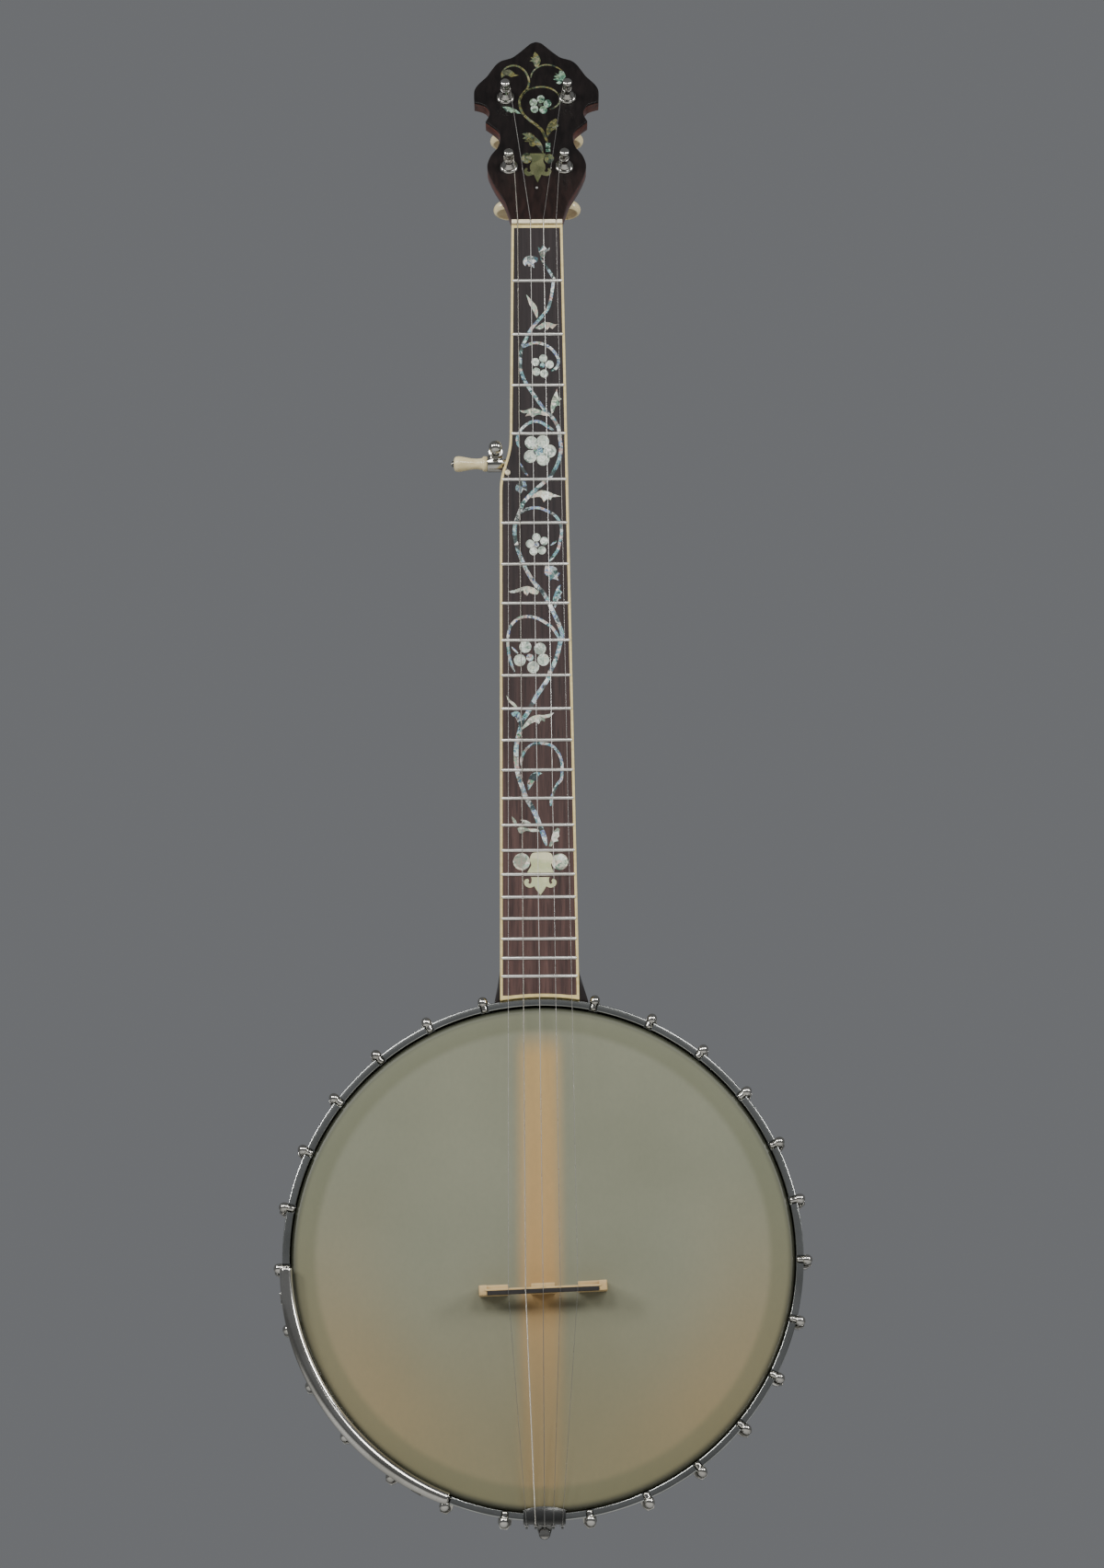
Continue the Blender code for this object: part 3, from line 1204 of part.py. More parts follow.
make_rim()
make_tone_ring()
make_head()
make_tension_hoop()
make_bracket_band()
make_hooks()
make_dowel_stick()
make_neck()
make_fretboard()
make_headstock_veneer()
make_nut()
make_bridge()
make_tailpiece()
make_tailpiece_bolt()
make_armrest()
make_pegs()
make_fifth_peg()
make_long_strings()
make_fifth_string()
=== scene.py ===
import json
import math

import bmesh
import bpy
from mathutils import Matrix, Vector


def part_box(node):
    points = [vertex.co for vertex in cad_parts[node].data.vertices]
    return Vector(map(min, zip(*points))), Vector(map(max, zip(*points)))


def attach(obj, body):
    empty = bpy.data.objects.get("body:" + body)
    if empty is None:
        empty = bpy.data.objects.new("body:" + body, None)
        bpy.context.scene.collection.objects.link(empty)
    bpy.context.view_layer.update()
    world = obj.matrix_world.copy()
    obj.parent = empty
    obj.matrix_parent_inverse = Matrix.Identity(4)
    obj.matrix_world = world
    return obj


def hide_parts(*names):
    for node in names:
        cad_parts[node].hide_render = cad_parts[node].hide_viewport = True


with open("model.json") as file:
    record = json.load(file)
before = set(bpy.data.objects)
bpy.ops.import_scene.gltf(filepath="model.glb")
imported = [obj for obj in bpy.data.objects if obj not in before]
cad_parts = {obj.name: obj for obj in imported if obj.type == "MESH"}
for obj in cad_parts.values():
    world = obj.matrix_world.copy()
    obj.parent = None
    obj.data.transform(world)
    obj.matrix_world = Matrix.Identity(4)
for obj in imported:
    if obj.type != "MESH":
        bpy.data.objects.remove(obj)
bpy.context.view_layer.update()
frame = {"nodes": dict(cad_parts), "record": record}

# An open-back five-string banjo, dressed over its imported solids.
# Lengths are in metres. Every local frame is (across, up, out), where out points at the viewer.

# The photograph's camera, worked out from the instrument's own sizes in it
PHOTO_WIDTH = 1200
PHOTO_HEIGHT = 1704
FOCAL_PIXELS = 4652.2
CAMERA_DISTANCE = 2.6003
CAMERA_LIFT = math.radians(11.211)
CAMERA_ROLL = math.radians(-0.370)
CAMERA_ASIDE = -0.00721
CAMERA_BELOW = -0.13768
LOOKED_AT = Vector((0, 0, -0.5))
SENSOR_WIDTH = 36.0

# Instrument sizes that the solids were built from
SCALE_LENGTH = 0.6699
FRET_COUNT = 22
HOOP_RISE = 0.0012
HOOP_BOTTOM = HOOP_RISE - 0.0115
HOOP_INNER = 0.1513
NOTCH_WIDTH = 0.005
NOTCH_DEPTH = 0.0042
HOOK_WIRE = 0.0042
HOOK_COUNT = 26
GAP = 0.0003
SKIN_THICKNESS = 0.0005
FLESH_HEIGHT = 0.005
HEADSTOCK_THICKNESS = 0.0072
VENEER_THICKNESS = 0.0018
HOUSING_BACK = -VENEER_THICKNESS - GAP - HEADSTOCK_THICKNESS - GAP
HOUSING_LENGTH = 0.0185
BOARD_THICKNESS = 0.0055
END_OF_STRAIGHT_EDGES = -0.490
TAIL_STRING_SPACING = 0.0053
BINDING_WIDTH = 0.0015
END_BINDING_WIDTH = 0.0019
FRET_WIDTH = 0.0022
FRET_HEIGHT = 0.001
INLAY_PROUD = 0.00006
INLAY_BASE = -0.0004
PETAL_SHARE = 0.93
FLOWER_CENTRE_SHARE = 0.8
LEAST_STEP = 0.6


# Local frames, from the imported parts

def joint_named(name):
    return next(joint for joint in frame["record"]["behaviour"]["joints"] if joint["name"] == name)


def facing(origin, out):
    """Frame at origin whose third axis is out and whose first is the instrument's right."""
    across = Vector((1, 0, 0))
    out = Vector(out).normalized()
    up = out.cross(across)
    matrix = Matrix((across, up, out)).transposed().to_4x4()
    matrix.translation = origin
    return matrix


head_low, head_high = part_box("head")
hoop_low, hoop_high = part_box("tension_hoop")
HOOP_OUTER = (hoop_high.x - hoop_low.x) / 2
HOOK_CIRCLE = HOOP_OUTER + GAP + HOOK_WIRE / 2
POT = facing(Vector((0, head_low.y, (head_low.z + head_high.z) / 2)), (0, -1, 0))
NECK = facing(Vector((0, 0, 0)), joint_named("fifth_peg_post_turn")["axis"])
LOWER_PEGS = [Vector(joint_named(f"peg_{number}_turn")["pos_m"]) for number in (1, 4)]
HEADSTOCK = facing((LOWER_PEGS[0] + LOWER_PEGS[1]) / 2, joint_named("peg_1_turn")["axis"])


def joint_frame(name):
    """Frame at a joint that looks along its axis."""
    joint = joint_named(name)
    return facing(Vector(joint["pos_m"]), joint["axis"])


def arc(total, steps):
    """Angles from 0 to a total, both among them."""
    return [total * k / steps for k in range(steps + 1)]


def full_turn(count):
    return [2 * math.pi * k / count for k in range(count)]


def polar(radius, angle, out):
    """Point of the pot's frame at a clock angle, which is 0 at the neck and grows to the right."""
    return Vector((radius * math.sin(angle), radius * math.cos(angle), out))


# Camera

def camera_axes():
    forward = Vector((0, math.cos(CAMERA_LIFT), math.sin(CAMERA_LIFT)))
    up = Vector((0, -math.sin(CAMERA_LIFT), math.cos(CAMERA_LIFT)))
    right = Vector((1, 0, 0))
    place = LOOKED_AT - forward * CAMERA_DISTANCE - right * CAMERA_ASIDE - up * CAMERA_BELOW
    turned_right = right * math.cos(CAMERA_ROLL) + up * math.sin(CAMERA_ROLL)
    turned_up = up * math.cos(CAMERA_ROLL) - right * math.sin(CAMERA_ROLL)
    return place, turned_right, turned_up, forward


def make_camera():
    place, right, up, forward = camera_axes()
    data = bpy.data.cameras.new("photo_camera")
    data.sensor_width = SENSOR_WIDTH
    data.lens = FOCAL_PIXELS * SENSOR_WIDTH / PHOTO_HEIGHT
    data.clip_end = 50
    camera = bpy.data.objects.new("photo_camera", data)
    camera.matrix_world = Matrix((right, up, -forward)).transposed().to_4x4()
    camera.matrix_world.translation = place
    bpy.context.scene.collection.objects.link(camera)
    bpy.context.scene.camera = camera


def seen_at(pixel, plane):
    """Point of a frame's (across, up) plane that the photograph shows at a pixel."""
    place, right, up, forward = camera_axes()
    x, y = pixel
    aside = (x - PHOTO_WIDTH / 2) / FOCAL_PIXELS
    above = (PHOTO_HEIGHT / 2 - y) / FOCAL_PIXELS
    ray = forward + right * aside + up * above
    inverse = plane.inverted()
    start = inverse @ place
    direction = inverse.to_3x3() @ ray
    hit = start - direction * (start.z / direction.z)
    return Vector((hit.x, hit.y))


# Materials

class Look:
    """A Principled material whose colour, roughness and bump come from textures in space."""

    def __init__(self, name, slot, metallic=0.0, coat=0.0, roughness=0.4, specular=0.5):
        self.slot = slot
        self.material = bpy.data.materials.new(name)
        self.material.use_nodes = True
        self.nodes = self.material.node_tree.nodes
        self.links = self.material.node_tree.links
        self.shader = self.nodes["Principled BSDF"]
        self.shader.inputs["Metallic"].default_value = metallic
        self.shader.inputs["Coat Weight"].default_value = coat
        self.shader.inputs["Coat Roughness"].default_value = 0.12
        self.shader.inputs["Roughness"].default_value = roughness
        self.shader.inputs["Specular IOR Level"].default_value = specular
        self.place = self.nodes.new("ShaderNodeTexCoord").outputs["Object"]
        self.relief = None

    def node(self, kind, source, settings, target="Vector", output="Fac"):
        """Output of a new node that a source feeds, with its other inputs set by name."""
        node = self.nodes.new(kind)
        for name, value in settings.items():
            node.inputs[name].default_value = value
        self.links.new(source, node.inputs[target])
        return node.outputs[output]

    def mapped(self, stretch):
        return self.node("ShaderNodeMapping", self.place, {"Scale": stretch}, output="Vector")

    def noise(self, scale, stretch=(1, 1, 1), detail=3.0, distortion=0.0):
        settings = {"Scale": scale, "Detail": detail, "Distortion": distortion}
        return self.node("ShaderNodeTexNoise", self.mapped(stretch), settings)

    def cells(self, scale, stretch):
        return self.node("ShaderNodeTexVoronoi", self.mapped(stretch), {"Scale": scale}, output="Color")

    def level_bands(self, scale):
        bands = self.node("ShaderNodeTexWave", self.place, {"Scale": scale, "Distortion": 0.0})
        bands.node.bands_direction = "Z"
        return bands

    def maths(self, operation, first, second=0.0, third=0.0):
        node = self.nodes.new("ShaderNodeMath")
        node.operation = operation
        for socket, value in zip(node.inputs, (first, second, third)):
            if isinstance(value, (int, float)):
                socket.default_value = value
            else:
                self.links.new(value, socket)
        return node.outputs[0]

    def times(self, first, second):
        return self.maths("MULTIPLY", first, second)

    def along(self, axis):
        """One coordinate of the surface point: X, Y or Z."""
        return self.node("ShaderNodeSeparateXYZ", self.place, {}, output=axis)

    def step(self, value, start, end):
        """0 below start, 1 above end, smooth between."""
        settings = {"From Min": start, "From Max": end}
        result = self.node("ShaderNodeMapRange", value, settings, "Value", "Result")
        result.node.interpolation_type = "SMOOTHSTEP"
        return result

    def spread(self, value, low, high):
        """A 0 to 1 value spread between low and high."""
        return self.node("ShaderNodeMapRange", value, {"To Min": low, "To Max": high}, "Value", "Result")

    def ramp(self, value, *stops):
        """Colours along a 0 to 1 value, each stop being (place, (red, green, blue))."""
        node = self.nodes.new("ShaderNodeValToRGB")
        elements = node.color_ramp.elements
        while len(elements) < len(stops):
            elements.new(0.5)
        for element, (place, colour) in zip(elements, stops):
            element.position = place
            element.color = (*colour, 1.0)
        self.links.new(value, node.inputs["Fac"])
        return node.outputs["Color"]

    def mix(self, share, first, second):
        """Two colours mixed by a share of the second."""
        node = self.nodes.new("ShaderNodeMix")
        node.data_type = "RGBA"
        self.links.new(share, node.inputs[0])
        for socket, value in ((node.inputs[6], first), (node.inputs[7], second)):
            if isinstance(value, tuple):
                socket.default_value = (*value, 1.0)
            else:
                self.links.new(value, socket)
        return node.outputs[2]

    def colour(self, value):
        self.links.new(value, self.shader.inputs["Base Color"])

    def rough(self, value, low, high):
        self.links.new(self.spread(value, low, high), self.shader.inputs["Roughness"])

    def bump(self, value, strength, distance):
        """Relief, on top of any that the material has already."""
        settings = {"Strength": strength, "Distance": distance}
        relief = self.node("ShaderNodeBump", value, settings, "Height", "Normal")
        if self.relief is not None:
            self.links.new(self.relief, relief.node.inputs["Normal"])
        self.relief = relief
        self.links.new(relief, self.shader.inputs["Normal"])


def metal_look(name, slot, bright, dull, roughness, scratches=(1, 1, 1)):
    """Plated or drawn metal: cloudy tarnish, fine scratches and a satin that varies."""
    look = Look(name, slot, metallic=1.0)
    clouds = look.noise(38, detail=5)
    specks = look.noise(1100, detail=2)
    scratch = look.noise(1600, stretch=scratches, detail=2)
    base = look.ramp(clouds, (0.35, bright), (0.75, dull))
    look.colour(look.mix(look.times(look.step(specks, 0.60, 0.72), 0.45), base, dull))
    look.rough(clouds, roughness * 0.7, roughness * 1.3)
    look.bump(scratch, 0.03, 0.00003)
    look.bump(clouds, 0.03, 0.0002)
    return look


def wood_look(name, slot, light, dark, grain=(160, 160, 9), coat=0.0):
    """Straight-grained wood: long streaks, finer pores and a soft figure across them."""
    look = Look(name, slot, coat=coat)
    streaks = look.noise(1.0, stretch=grain, detail=6, distortion=0.6)
    pores = look.noise(1.0, stretch=[value * 6 for value in grain], detail=3)
    figure = look.noise(28, stretch=(1, 1, 0.5), detail=2)
    base = look.ramp(streaks, (0.32, dark), (0.68, light))
    pored = look.mix(look.spread(pores, 0.0, 0.5), base, dark)
    shaded = look.mix(look.spread(figure, 0.0, 0.35), pored, dark)
    look.colour(shaded)
    look.rough(streaks, 0.35, 0.5)
    look.bump(pores, 0.12, 0.0001)
    return look


SHELL_SHADOW = (0.020, 0.032, 0.030)
SHELL_GLINT = (0.93, 0.95, 0.88)


def pearl_look(name, *colours, cell, shine, gloom):
    """Shell inlay: short pieces of changing hue, each fading from bright to dark, with patches of painted
    shade and painted glints, under a hard polish.
    """
    look = Look(name, "cream_plastic", coat=0.15, roughness=0.2, specular=0.4)
    separate = look.nodes.new("ShaderNodeSeparateColor")
    look.links.new(look.cells(cell, stretch=(0.8, 1, 1)), separate.inputs[0])
    figure = look.noise(300, detail=6, distortion=2.5)
    cloud = look.noise(cell * 1.5, detail=2, distortion=1.2)
    swirl = look.step(cloud, 0.30, 0.70)
    shift = look.maths("MULTIPLY_ADD", swirl, 0.40, -0.10)
    hue = look.maths("MULTIPLY_ADD", separate.outputs[0], 0.80, shift)
    stops = [(index / (len(colours) - 1), colour) for index, colour in enumerate(colours)]
    tinted = look.ramp(hue, *stops)
    # Painted shade: dark patches across the pieces. Painted highlight: the bright glints further down.
    dark = look.times(look.step(separate.outputs[1], 0.55, 0.95), gloom)
    shade = look.times(look.step(look.noise(cell * 2.2, detail=2), 0.52, 0.68), gloom * 0.9)
    banded = look.mix(look.maths("MAXIMUM", dark, shade), tinted, SHELL_SHADOW)
    glint = look.times(look.step(separate.outputs[2], 0.40, 0.9), look.step(cloud, 0.40, 0.62))
    look.colour(look.mix(look.times(glint, shine), banded, SHELL_GLINT))
    look.rough(figure, 0.16, 0.36)
    look.bump(figure, 0.04, 0.0001)
    return look


NICKEL = metal_look("nickel_plate", "nickel", (0.64, 0.625, 0.58), (0.40, 0.385, 0.34), 0.13)
HOOP_NICKEL = metal_look("hoop_nickel", "nickel", (0.54, 0.55, 0.53), (0.32, 0.33, 0.31), 0.16)
# A darker copy of the nickel, for the tailpiece and the fifth button's cap.
DARK_NICKEL = metal_look("darkened_nickel", "nickel", (0.20, 0.20, 0.19), (0.08, 0.08, 0.075), 0.2)
FRET_METAL = metal_look("fret_wire", "nickel", (0.90, 0.89, 0.84), (0.68, 0.66, 0.60), 0.34, (0.05, 1, 1))
BRASS = metal_look("tone_ring_metal", "tone_ring_brass", (0.58, 0.42, 0.18), (0.26, 0.17, 0.07), 0.3)
STEEL = metal_look("plain_string", "string_steel", (0.62, 0.61, 0.58), (0.42, 0.40, 0.37), 0.28)
MAPLE = wood_look("rim_maple", "maple", (0.52, 0.33, 0.15), (0.33, 0.18, 0.07), coat=0.3)
GRAIN_ACROSS = (14, 160, 160)
BRIDGE_WOOD = wood_look("bridge_wood", "bridge_maple", (0.70, 0.52, 0.25), (0.50, 0.34, 0.15), GRAIN_ACROSS)
CAP_WOOD = wood_look("bridge_cap_wood", "ebony", (0.030, 0.024, 0.020), (0.008, 0.006, 0.006), GRAIN_ACROSS)
ABALONE = pearl_look(
    "abalone", (0.010, 0.07, 0.06), (0.26, 0.52, 0.46), (0.03, 0.12, 0.24), (0.46, 0.66, 0.56),
    (0.07, 0.10, 0.36), (0.52, 0.60, 0.52), (0.50, 0.24, 0.24), (0.14, 0.34, 0.20),
    cell=240, shine=0.75, gloom=0.95)
WHITE_PEARL = pearl_look(
    "white_pearl", (0.14, 0.24, 0.17), (0.60, 0.66, 0.50), (0.72, 0.58, 0.46), (0.34, 0.54, 0.42),
    (0.72, 0.48, 0.40), (0.68, 0.72, 0.54), cell=190, shine=0.85, gloom=0.55)
GOLD_PEARL = pearl_look(
    "gold_pearl", (0.025, 0.032, 0.015), (0.105, 0.100, 0.035), (0.180, 0.155, 0.050), (0.060, 0.095, 0.055),
    (0.210, 0.180, 0.065), cell=240, shine=0.08, gloom=0.85)
PALE_GOLD = pearl_look(
    "pale_gold_pearl", (0.40, 0.42, 0.19), (0.54, 0.52, 0.26), (0.48, 0.52, 0.29), (0.66, 0.63, 0.38),
    cell=60, shine=0.1, gloom=0.0)
PETAL_PEARL = pearl_look(
    "petal_pearl", (0.20, 0.28, 0.22), (0.50, 0.58, 0.48), (0.66, 0.70, 0.58), (0.36, 0.48, 0.42),
    (0.60, 0.60, 0.46), cell=300, shine=0.9, gloom=0.45)
GREEN_PEARL = pearl_look(
    "green_pearl", (0.02, 0.05, 0.03), (0.10, 0.22, 0.15), (0.26, 0.42, 0.30), (0.14, 0.21, 0.11),
    (0.40, 0.56, 0.46), cell=300, shine=0.35, gloom=0.7)
GREEN_GOLD = pearl_look(
    "green_gold_pearl", (0.060, 0.070, 0.030), (0.095, 0.105, 0.044), (0.075, 0.085, 0.040),
    (0.125, 0.130, 0.058), cell=60, shine=0.03, gloom=0.1)


def neck_look():
    """Dark mahogany that turns nearly black towards its heel."""
    look = Look("dark_mahogany", "neck_mahogany", coat=0.4)
    streaks = look.noise(1.0, stretch=(160, 160, 9), detail=6, distortion=0.6)
    pores = look.noise(1.0, stretch=(1200, 1200, 60), detail=3)
    base = look.ramp(streaks, (0.32, (0.040, 0.011, 0.007)), (0.68, (0.120, 0.034, 0.020)))
    heel = look.ramp(streaks, (0.32, (0.006, 0.004, 0.004)), (0.68, (0.018, 0.009, 0.007)))
    # Darker towards the heel end.
    heel_darkened = look.mix(look.step(look.along("Z"), -0.40, -0.455), base, heel)
    dark_pores = look.times(look.step(pores, 0.55, 0.7), 0.5)
    look.colour(look.mix(dark_pores, heel_darkened, (0.010, 0.005, 0.004)))
    look.rough(streaks, 0.3, 0.45)
    look.bump(pores, 0.12, 0.0001)
    return look


def veneer_look():
    """Black face veneer that warms to brown towards the nut."""
    look = Look("face_veneer", "black_veneer", coat=0.04, specular=0.25)
    streaks = look.noise(1.0, stretch=(300, 300, 16), detail=5, distortion=0.4)
    black = look.ramp(streaks, (0.3, (0.0030, 0.0022, 0.0022)), (0.7, (0.0080, 0.0052, 0.0048)))
    brown = look.ramp(streaks, (0.3, (0.0085, 0.0048, 0.0042)), (0.7, (0.0240, 0.0115, 0.0090)))
    look.colour(look.mix(look.step(look.along("Z"), 0.060, 0.008), black, brown))
    look.rough(streaks, 0.34, 0.46)
    look.bump(streaks, 0.05, 0.0001)
    return look


def board_look():
    """Rosewood, near black by the nut, with a painted sheen that makes it redder and lighter towards the pot.
    """
    look = Look("rosewood", "ebony", coat=0.02, specular=0.22)
    streaks = look.noise(1.0, stretch=(420, 200, 14), detail=6, distortion=0.5)
    pores = look.noise(1.0, stretch=(1500, 900, 60), detail=2)
    # Painted sheen: the board turns redder and lighter towards the pot.
    down = look.step(look.along("Z"), -0.15, -0.48)
    dark = look.ramp(streaks, (0.3, (0.010, 0.007, 0.0075)), (0.7, (0.026, 0.018, 0.018)))
    red = look.ramp(streaks, (0.3, (0.036, 0.019, 0.017)), (0.7, (0.105, 0.054, 0.045)))
    base = look.mix(down, dark, red)
    dark_pores = look.times(look.step(pores, 0.55, 0.72), 0.55)
    look.colour(look.mix(dark_pores, base, (0.010, 0.007, 0.006)))
    look.rough(streaks, 0.40, 0.55)
    look.bump(pores, 0.25, 0.0001)
    return look


# Skin colours. The olive tint of the lower part is painted shade, the ring and edge colours are painted
# shadows, and the glow colours are painted light where the dowel stick shows through.
HEAD_LOWER_SHADE = (0.215, 0.175, 0.085)
HEAD_WARMTH = (0.38, 0.235, 0.085)
HEAD_RING_SHADOW = (0.112, 0.118, 0.060)
HEAD_EDGE_SHADOW = (0.022, 0.024, 0.016)
HEAD_FIBRE = (0.10, 0.105, 0.07)
HEAD_GLOW = ((0.0, (0.50, 0.315, 0.110)), (0.55, (0.49, 0.285, 0.095)), (1.0, (0.33, 0.205, 0.075)))
DOWEL_ASIDE = 0.0015


def dowel_glow(look, skin, x, up):
    """The dowel stick showing through the skin, painted as a band of light down its middle that is brighter
    at the top and fades towards the bottom.
    """
    side = look.maths("ABSOLUTE", look.maths("ADD", x, DOWEL_ASIDE))
    band = look.step(side, 0.0175, 0.0055)
    # Painted light: the band glows brighter towards the top of the skin and weaker towards the bottom.
    glow = look.ramp(look.step(up, 0.15, -0.13), *HEAD_GLOW)
    fade = look.times(look.step(up, 0.140, 0.118), look.spread(look.step(up, -0.12, 0.0), 0.5, 0.85))
    return look.mix(look.times(band, fade), skin, glow)


def lower_warmth(look, skin, x, up, radius):
    """Warm patches at the skin's lower sides."""
    across = look.step(look.maths("ABSOLUTE", x), 0.02, 0.10)
    belt = look.times(look.step(up, 0.07, -0.07), look.step(up, -0.165, -0.08))
    warm = look.times(look.times(look.step(radius, 0.07, 0.130), across), belt)
    return look.mix(look.times(warm, 0.27), skin, HEAD_WARMTH)


def head_look():
    """Mottled skin that lets what is behind it show through as painted light and shade: the dowel stick's
    glow, painted shade over its lower part, a painted shadow over the tone ring and a painted shadow at its
    edge.
    """
    look = Look("banjo_skin", "head_skin", roughness=0.42)
    x = look.along("X")
    up = look.maths("SUBTRACT", look.along("Z"), POT.translation.z)
    radius = look.maths("SQRT", look.maths("ADD", look.maths("POWER", x, 2), look.maths("POWER", up, 2)))
    mottle = look.noise(14, detail=3)
    fibres = look.noise(420, stretch=(1, 1, 0.7), detail=4)
    grey = look.ramp(mottle, (0.2, (0.190, 0.196, 0.132)), (0.8, (0.218, 0.222, 0.152)))
    # Painted shade: the lower part of the skin goes darker and olive.
    skin = look.mix(look.times(look.step(up, 0.02, -0.15), 0.8), grey, HEAD_LOWER_SHADE)
    skin = dowel_glow(look, skin, x, up)
    skin = lower_warmth(look, skin, x, up, radius)
    # Painted shadow of the tone ring, seen through the skin as a darker ring.
    skin = look.mix(look.times(look.step(radius, 0.1335, 0.1385), 0.5), skin, HEAD_RING_SHADOW)
    # Painted shadow in the gap at the skin's edge, by the hoop.
    skin = look.mix(look.times(look.step(radius, 0.1452, 0.1500), 0.85), skin, HEAD_EDGE_SHADOW)
    look.colour(look.mix(look.spread(fibres, 0.0, 0.2), skin, HEAD_FIBRE))
    look.rough(mottle, 0.38, 0.5)
    look.bump(fibres, 0.08, 0.0002)
    return look


def cream_look(name, slot, light, dark, roughness):
    """Aged plastic or bone: soft clouds, faint specks and a light polish."""
    look = Look(name, slot, coat=0.25)
    clouds = look.noise(120, stretch=(1, 1, 2), detail=4, distortion=1.2)
    specks = look.noise(1600, detail=2)
    base = look.ramp(clouds, (0.3, dark), (0.7, light))
    look.colour(look.mix(look.step(specks, 0.62, 0.75), base, dark))
    look.rough(clouds, roughness, roughness * 1.5)
    look.bump(clouds, 0.04, 0.0002)
    return look


MAHOGANY = neck_look()
VENEER = veneer_look()
BOARD = board_look()
SKIN = head_look()
BINDING = cream_look("binding", "cream_plastic", (0.74, 0.60, 0.26), (0.60, 0.47, 0.18), 0.32)
BUTTON = cream_look("button_plastic", "cream_plastic", (0.80, 0.70, 0.43), (0.68, 0.56, 0.30), 0.22)
# Darker cream for the grips' hollows: painted shade in the recesses.
HOLLOW = cream_look("button_hollow_shade", "cream_plastic", (0.62, 0.50, 0.28), (0.44, 0.31, 0.15), 0.35)
BONE = cream_look("nut_bone", "bone", (0.80, 0.72, 0.52), (0.66, 0.56, 0.36), 0.3)


def wound_look():
    """Wound string: fine turns of wire across its length."""
    look = Look("wound_wire", "wound_string", metallic=1.0)
    turns = look.level_bands(2400)
    look.colour(look.ramp(turns, (0.1, (0.30, 0.28, 0.24)), (0.8, (0.66, 0.63, 0.56))))
    look.rough(turns, 0.25, 0.4)
    look.bump(turns, 0.5, 0.0001)
    return look


WOUND = wound_look()


# Meshes

def shade(mesh, smooth_below):
    """Smooth shading, except at edges sharper than an angle in degrees."""
    mesh.shade_smooth()
    mesh.set_sharp_from_angle(angle=math.radians(smooth_below))


def finished(name, mesh, look, smooth_below=35):
    """Object of a mesh in place, shaded and with its finish."""
    shade(mesh, smooth_below)
    obj = bpy.data.objects.new(name, mesh)
    bpy.context.scene.collection.objects.link(obj)
    if look:
        mesh.materials.clear()
        mesh.materials.append(look.material)
    return obj


def from_shape(name, shape, look, matrix=None, smooth_below=35):
    """Object of a shape, moved by a matrix if there is one. The shape is used up."""
    bmesh.ops.remove_doubles(shape, verts=shape.verts, dist=0.0000005)
    bmesh.ops.recalc_face_normals(shape, faces=shape.faces)
    if matrix:
        shape.transform(matrix)
    mesh = bpy.data.meshes.new(name)
    shape.to_mesh(mesh)
    shape.free()
    return finished(name, mesh, look, smooth_below)


def skin_rings(shape, rings, closed_round=True, closed_along=False, capped=False):
    """Faces between rings of points that follow one another."""
    made = [[shape.verts.new(point) for point in ring] for ring in rings]
    pairs = list(zip(made, made[1:]))
    if closed_along:
        pairs.append((made[-1], made[0]))
    for first, second in pairs:
        count = len(first) if closed_round else len(first) - 1
        for i in range(count):
            j = (i + 1) % len(first)
            shape.faces.new((first[i], first[j], second[j], second[i]))
    if capped:
        shape.faces.new(made[0])
        shape.faces.new(made[-1][::-1])


def turned(name, profile, matrix, look, steps, ring=False, smooth_below=35):
    """Profile of (radius, out) turned about a frame's third axis. A ring's profile is a closed line."""
    shape = bmesh.new()
    rings = []
    for angle in full_turn(steps):
        rings.append([Vector((r * math.cos(angle), r * math.sin(angle), out)) for r, out in profile])
    skin_rings(shape, rings, closed_round=ring, closed_along=True)
    return from_shape(name, shape, look, matrix, smooth_below)


def rounded_profile(corners, radius):
    """Closed profile with each corner replaced by a small arc."""
    segments = 3
    points = []
    for index, corner in enumerate(corners):
        before = Vector(corners[index - 1])
        here = Vector(corner)
        after = Vector(corners[(index + 1) % len(corners)])
        to_before = (before - here).normalized() * radius
        to_after = (after - here).normalized() * radius
        for i in range(segments + 1):
            share = i / segments
            first = here + to_before * (1 - share)
            second = here + to_after * share
            points.append(tuple(first + (second - first) * share))
    return points


def smoothed(points, per_span, closed=False):
    """Catmull-Rom curve through points of any size."""
    count = len(points)
    spans = count if closed else count - 1
    curve = []
    for i in range(spans):
        if closed:
            a, b, c, d = (points[(i + k) % count] for k in (-1, 0, 1, 2))
        else:
            a, b, c, d = (points[min(max(i + k, 0), count - 1)] for k in (-1, 0, 1, 2))
        for j in range(per_span):
            t = j / per_span
            curve.append((b * 2 + (c - a) * t + (a * 2 - b * 5 + c * 4 - d) * t * t
                          + (b * 3 - a - c * 3 + d) * t * t * t) * 0.5)
    if not closed:
        curve.append(points[-1])
    return curve


def tube(name, path, radii, look, sides):
    """Round bar along a path that stays in one plane, with a radius for each point."""
    shape = bmesh.new()
    normal = Vector((0, 1, 0))
    rings = []
    for i, point in enumerate(path):
        ahead = (path[min(i + 1, len(path) - 1)] - path[max(i - 1, 0)]).normalized()
        side = ahead.cross(normal).normalized()
        rings.append([point + (side * math.cos(a) + normal * math.sin(a)) * radii[i]
                      for a in full_turn(sides)])
    skin_rings(shape, rings, capped=True)
    return from_shape(name, shape, look)


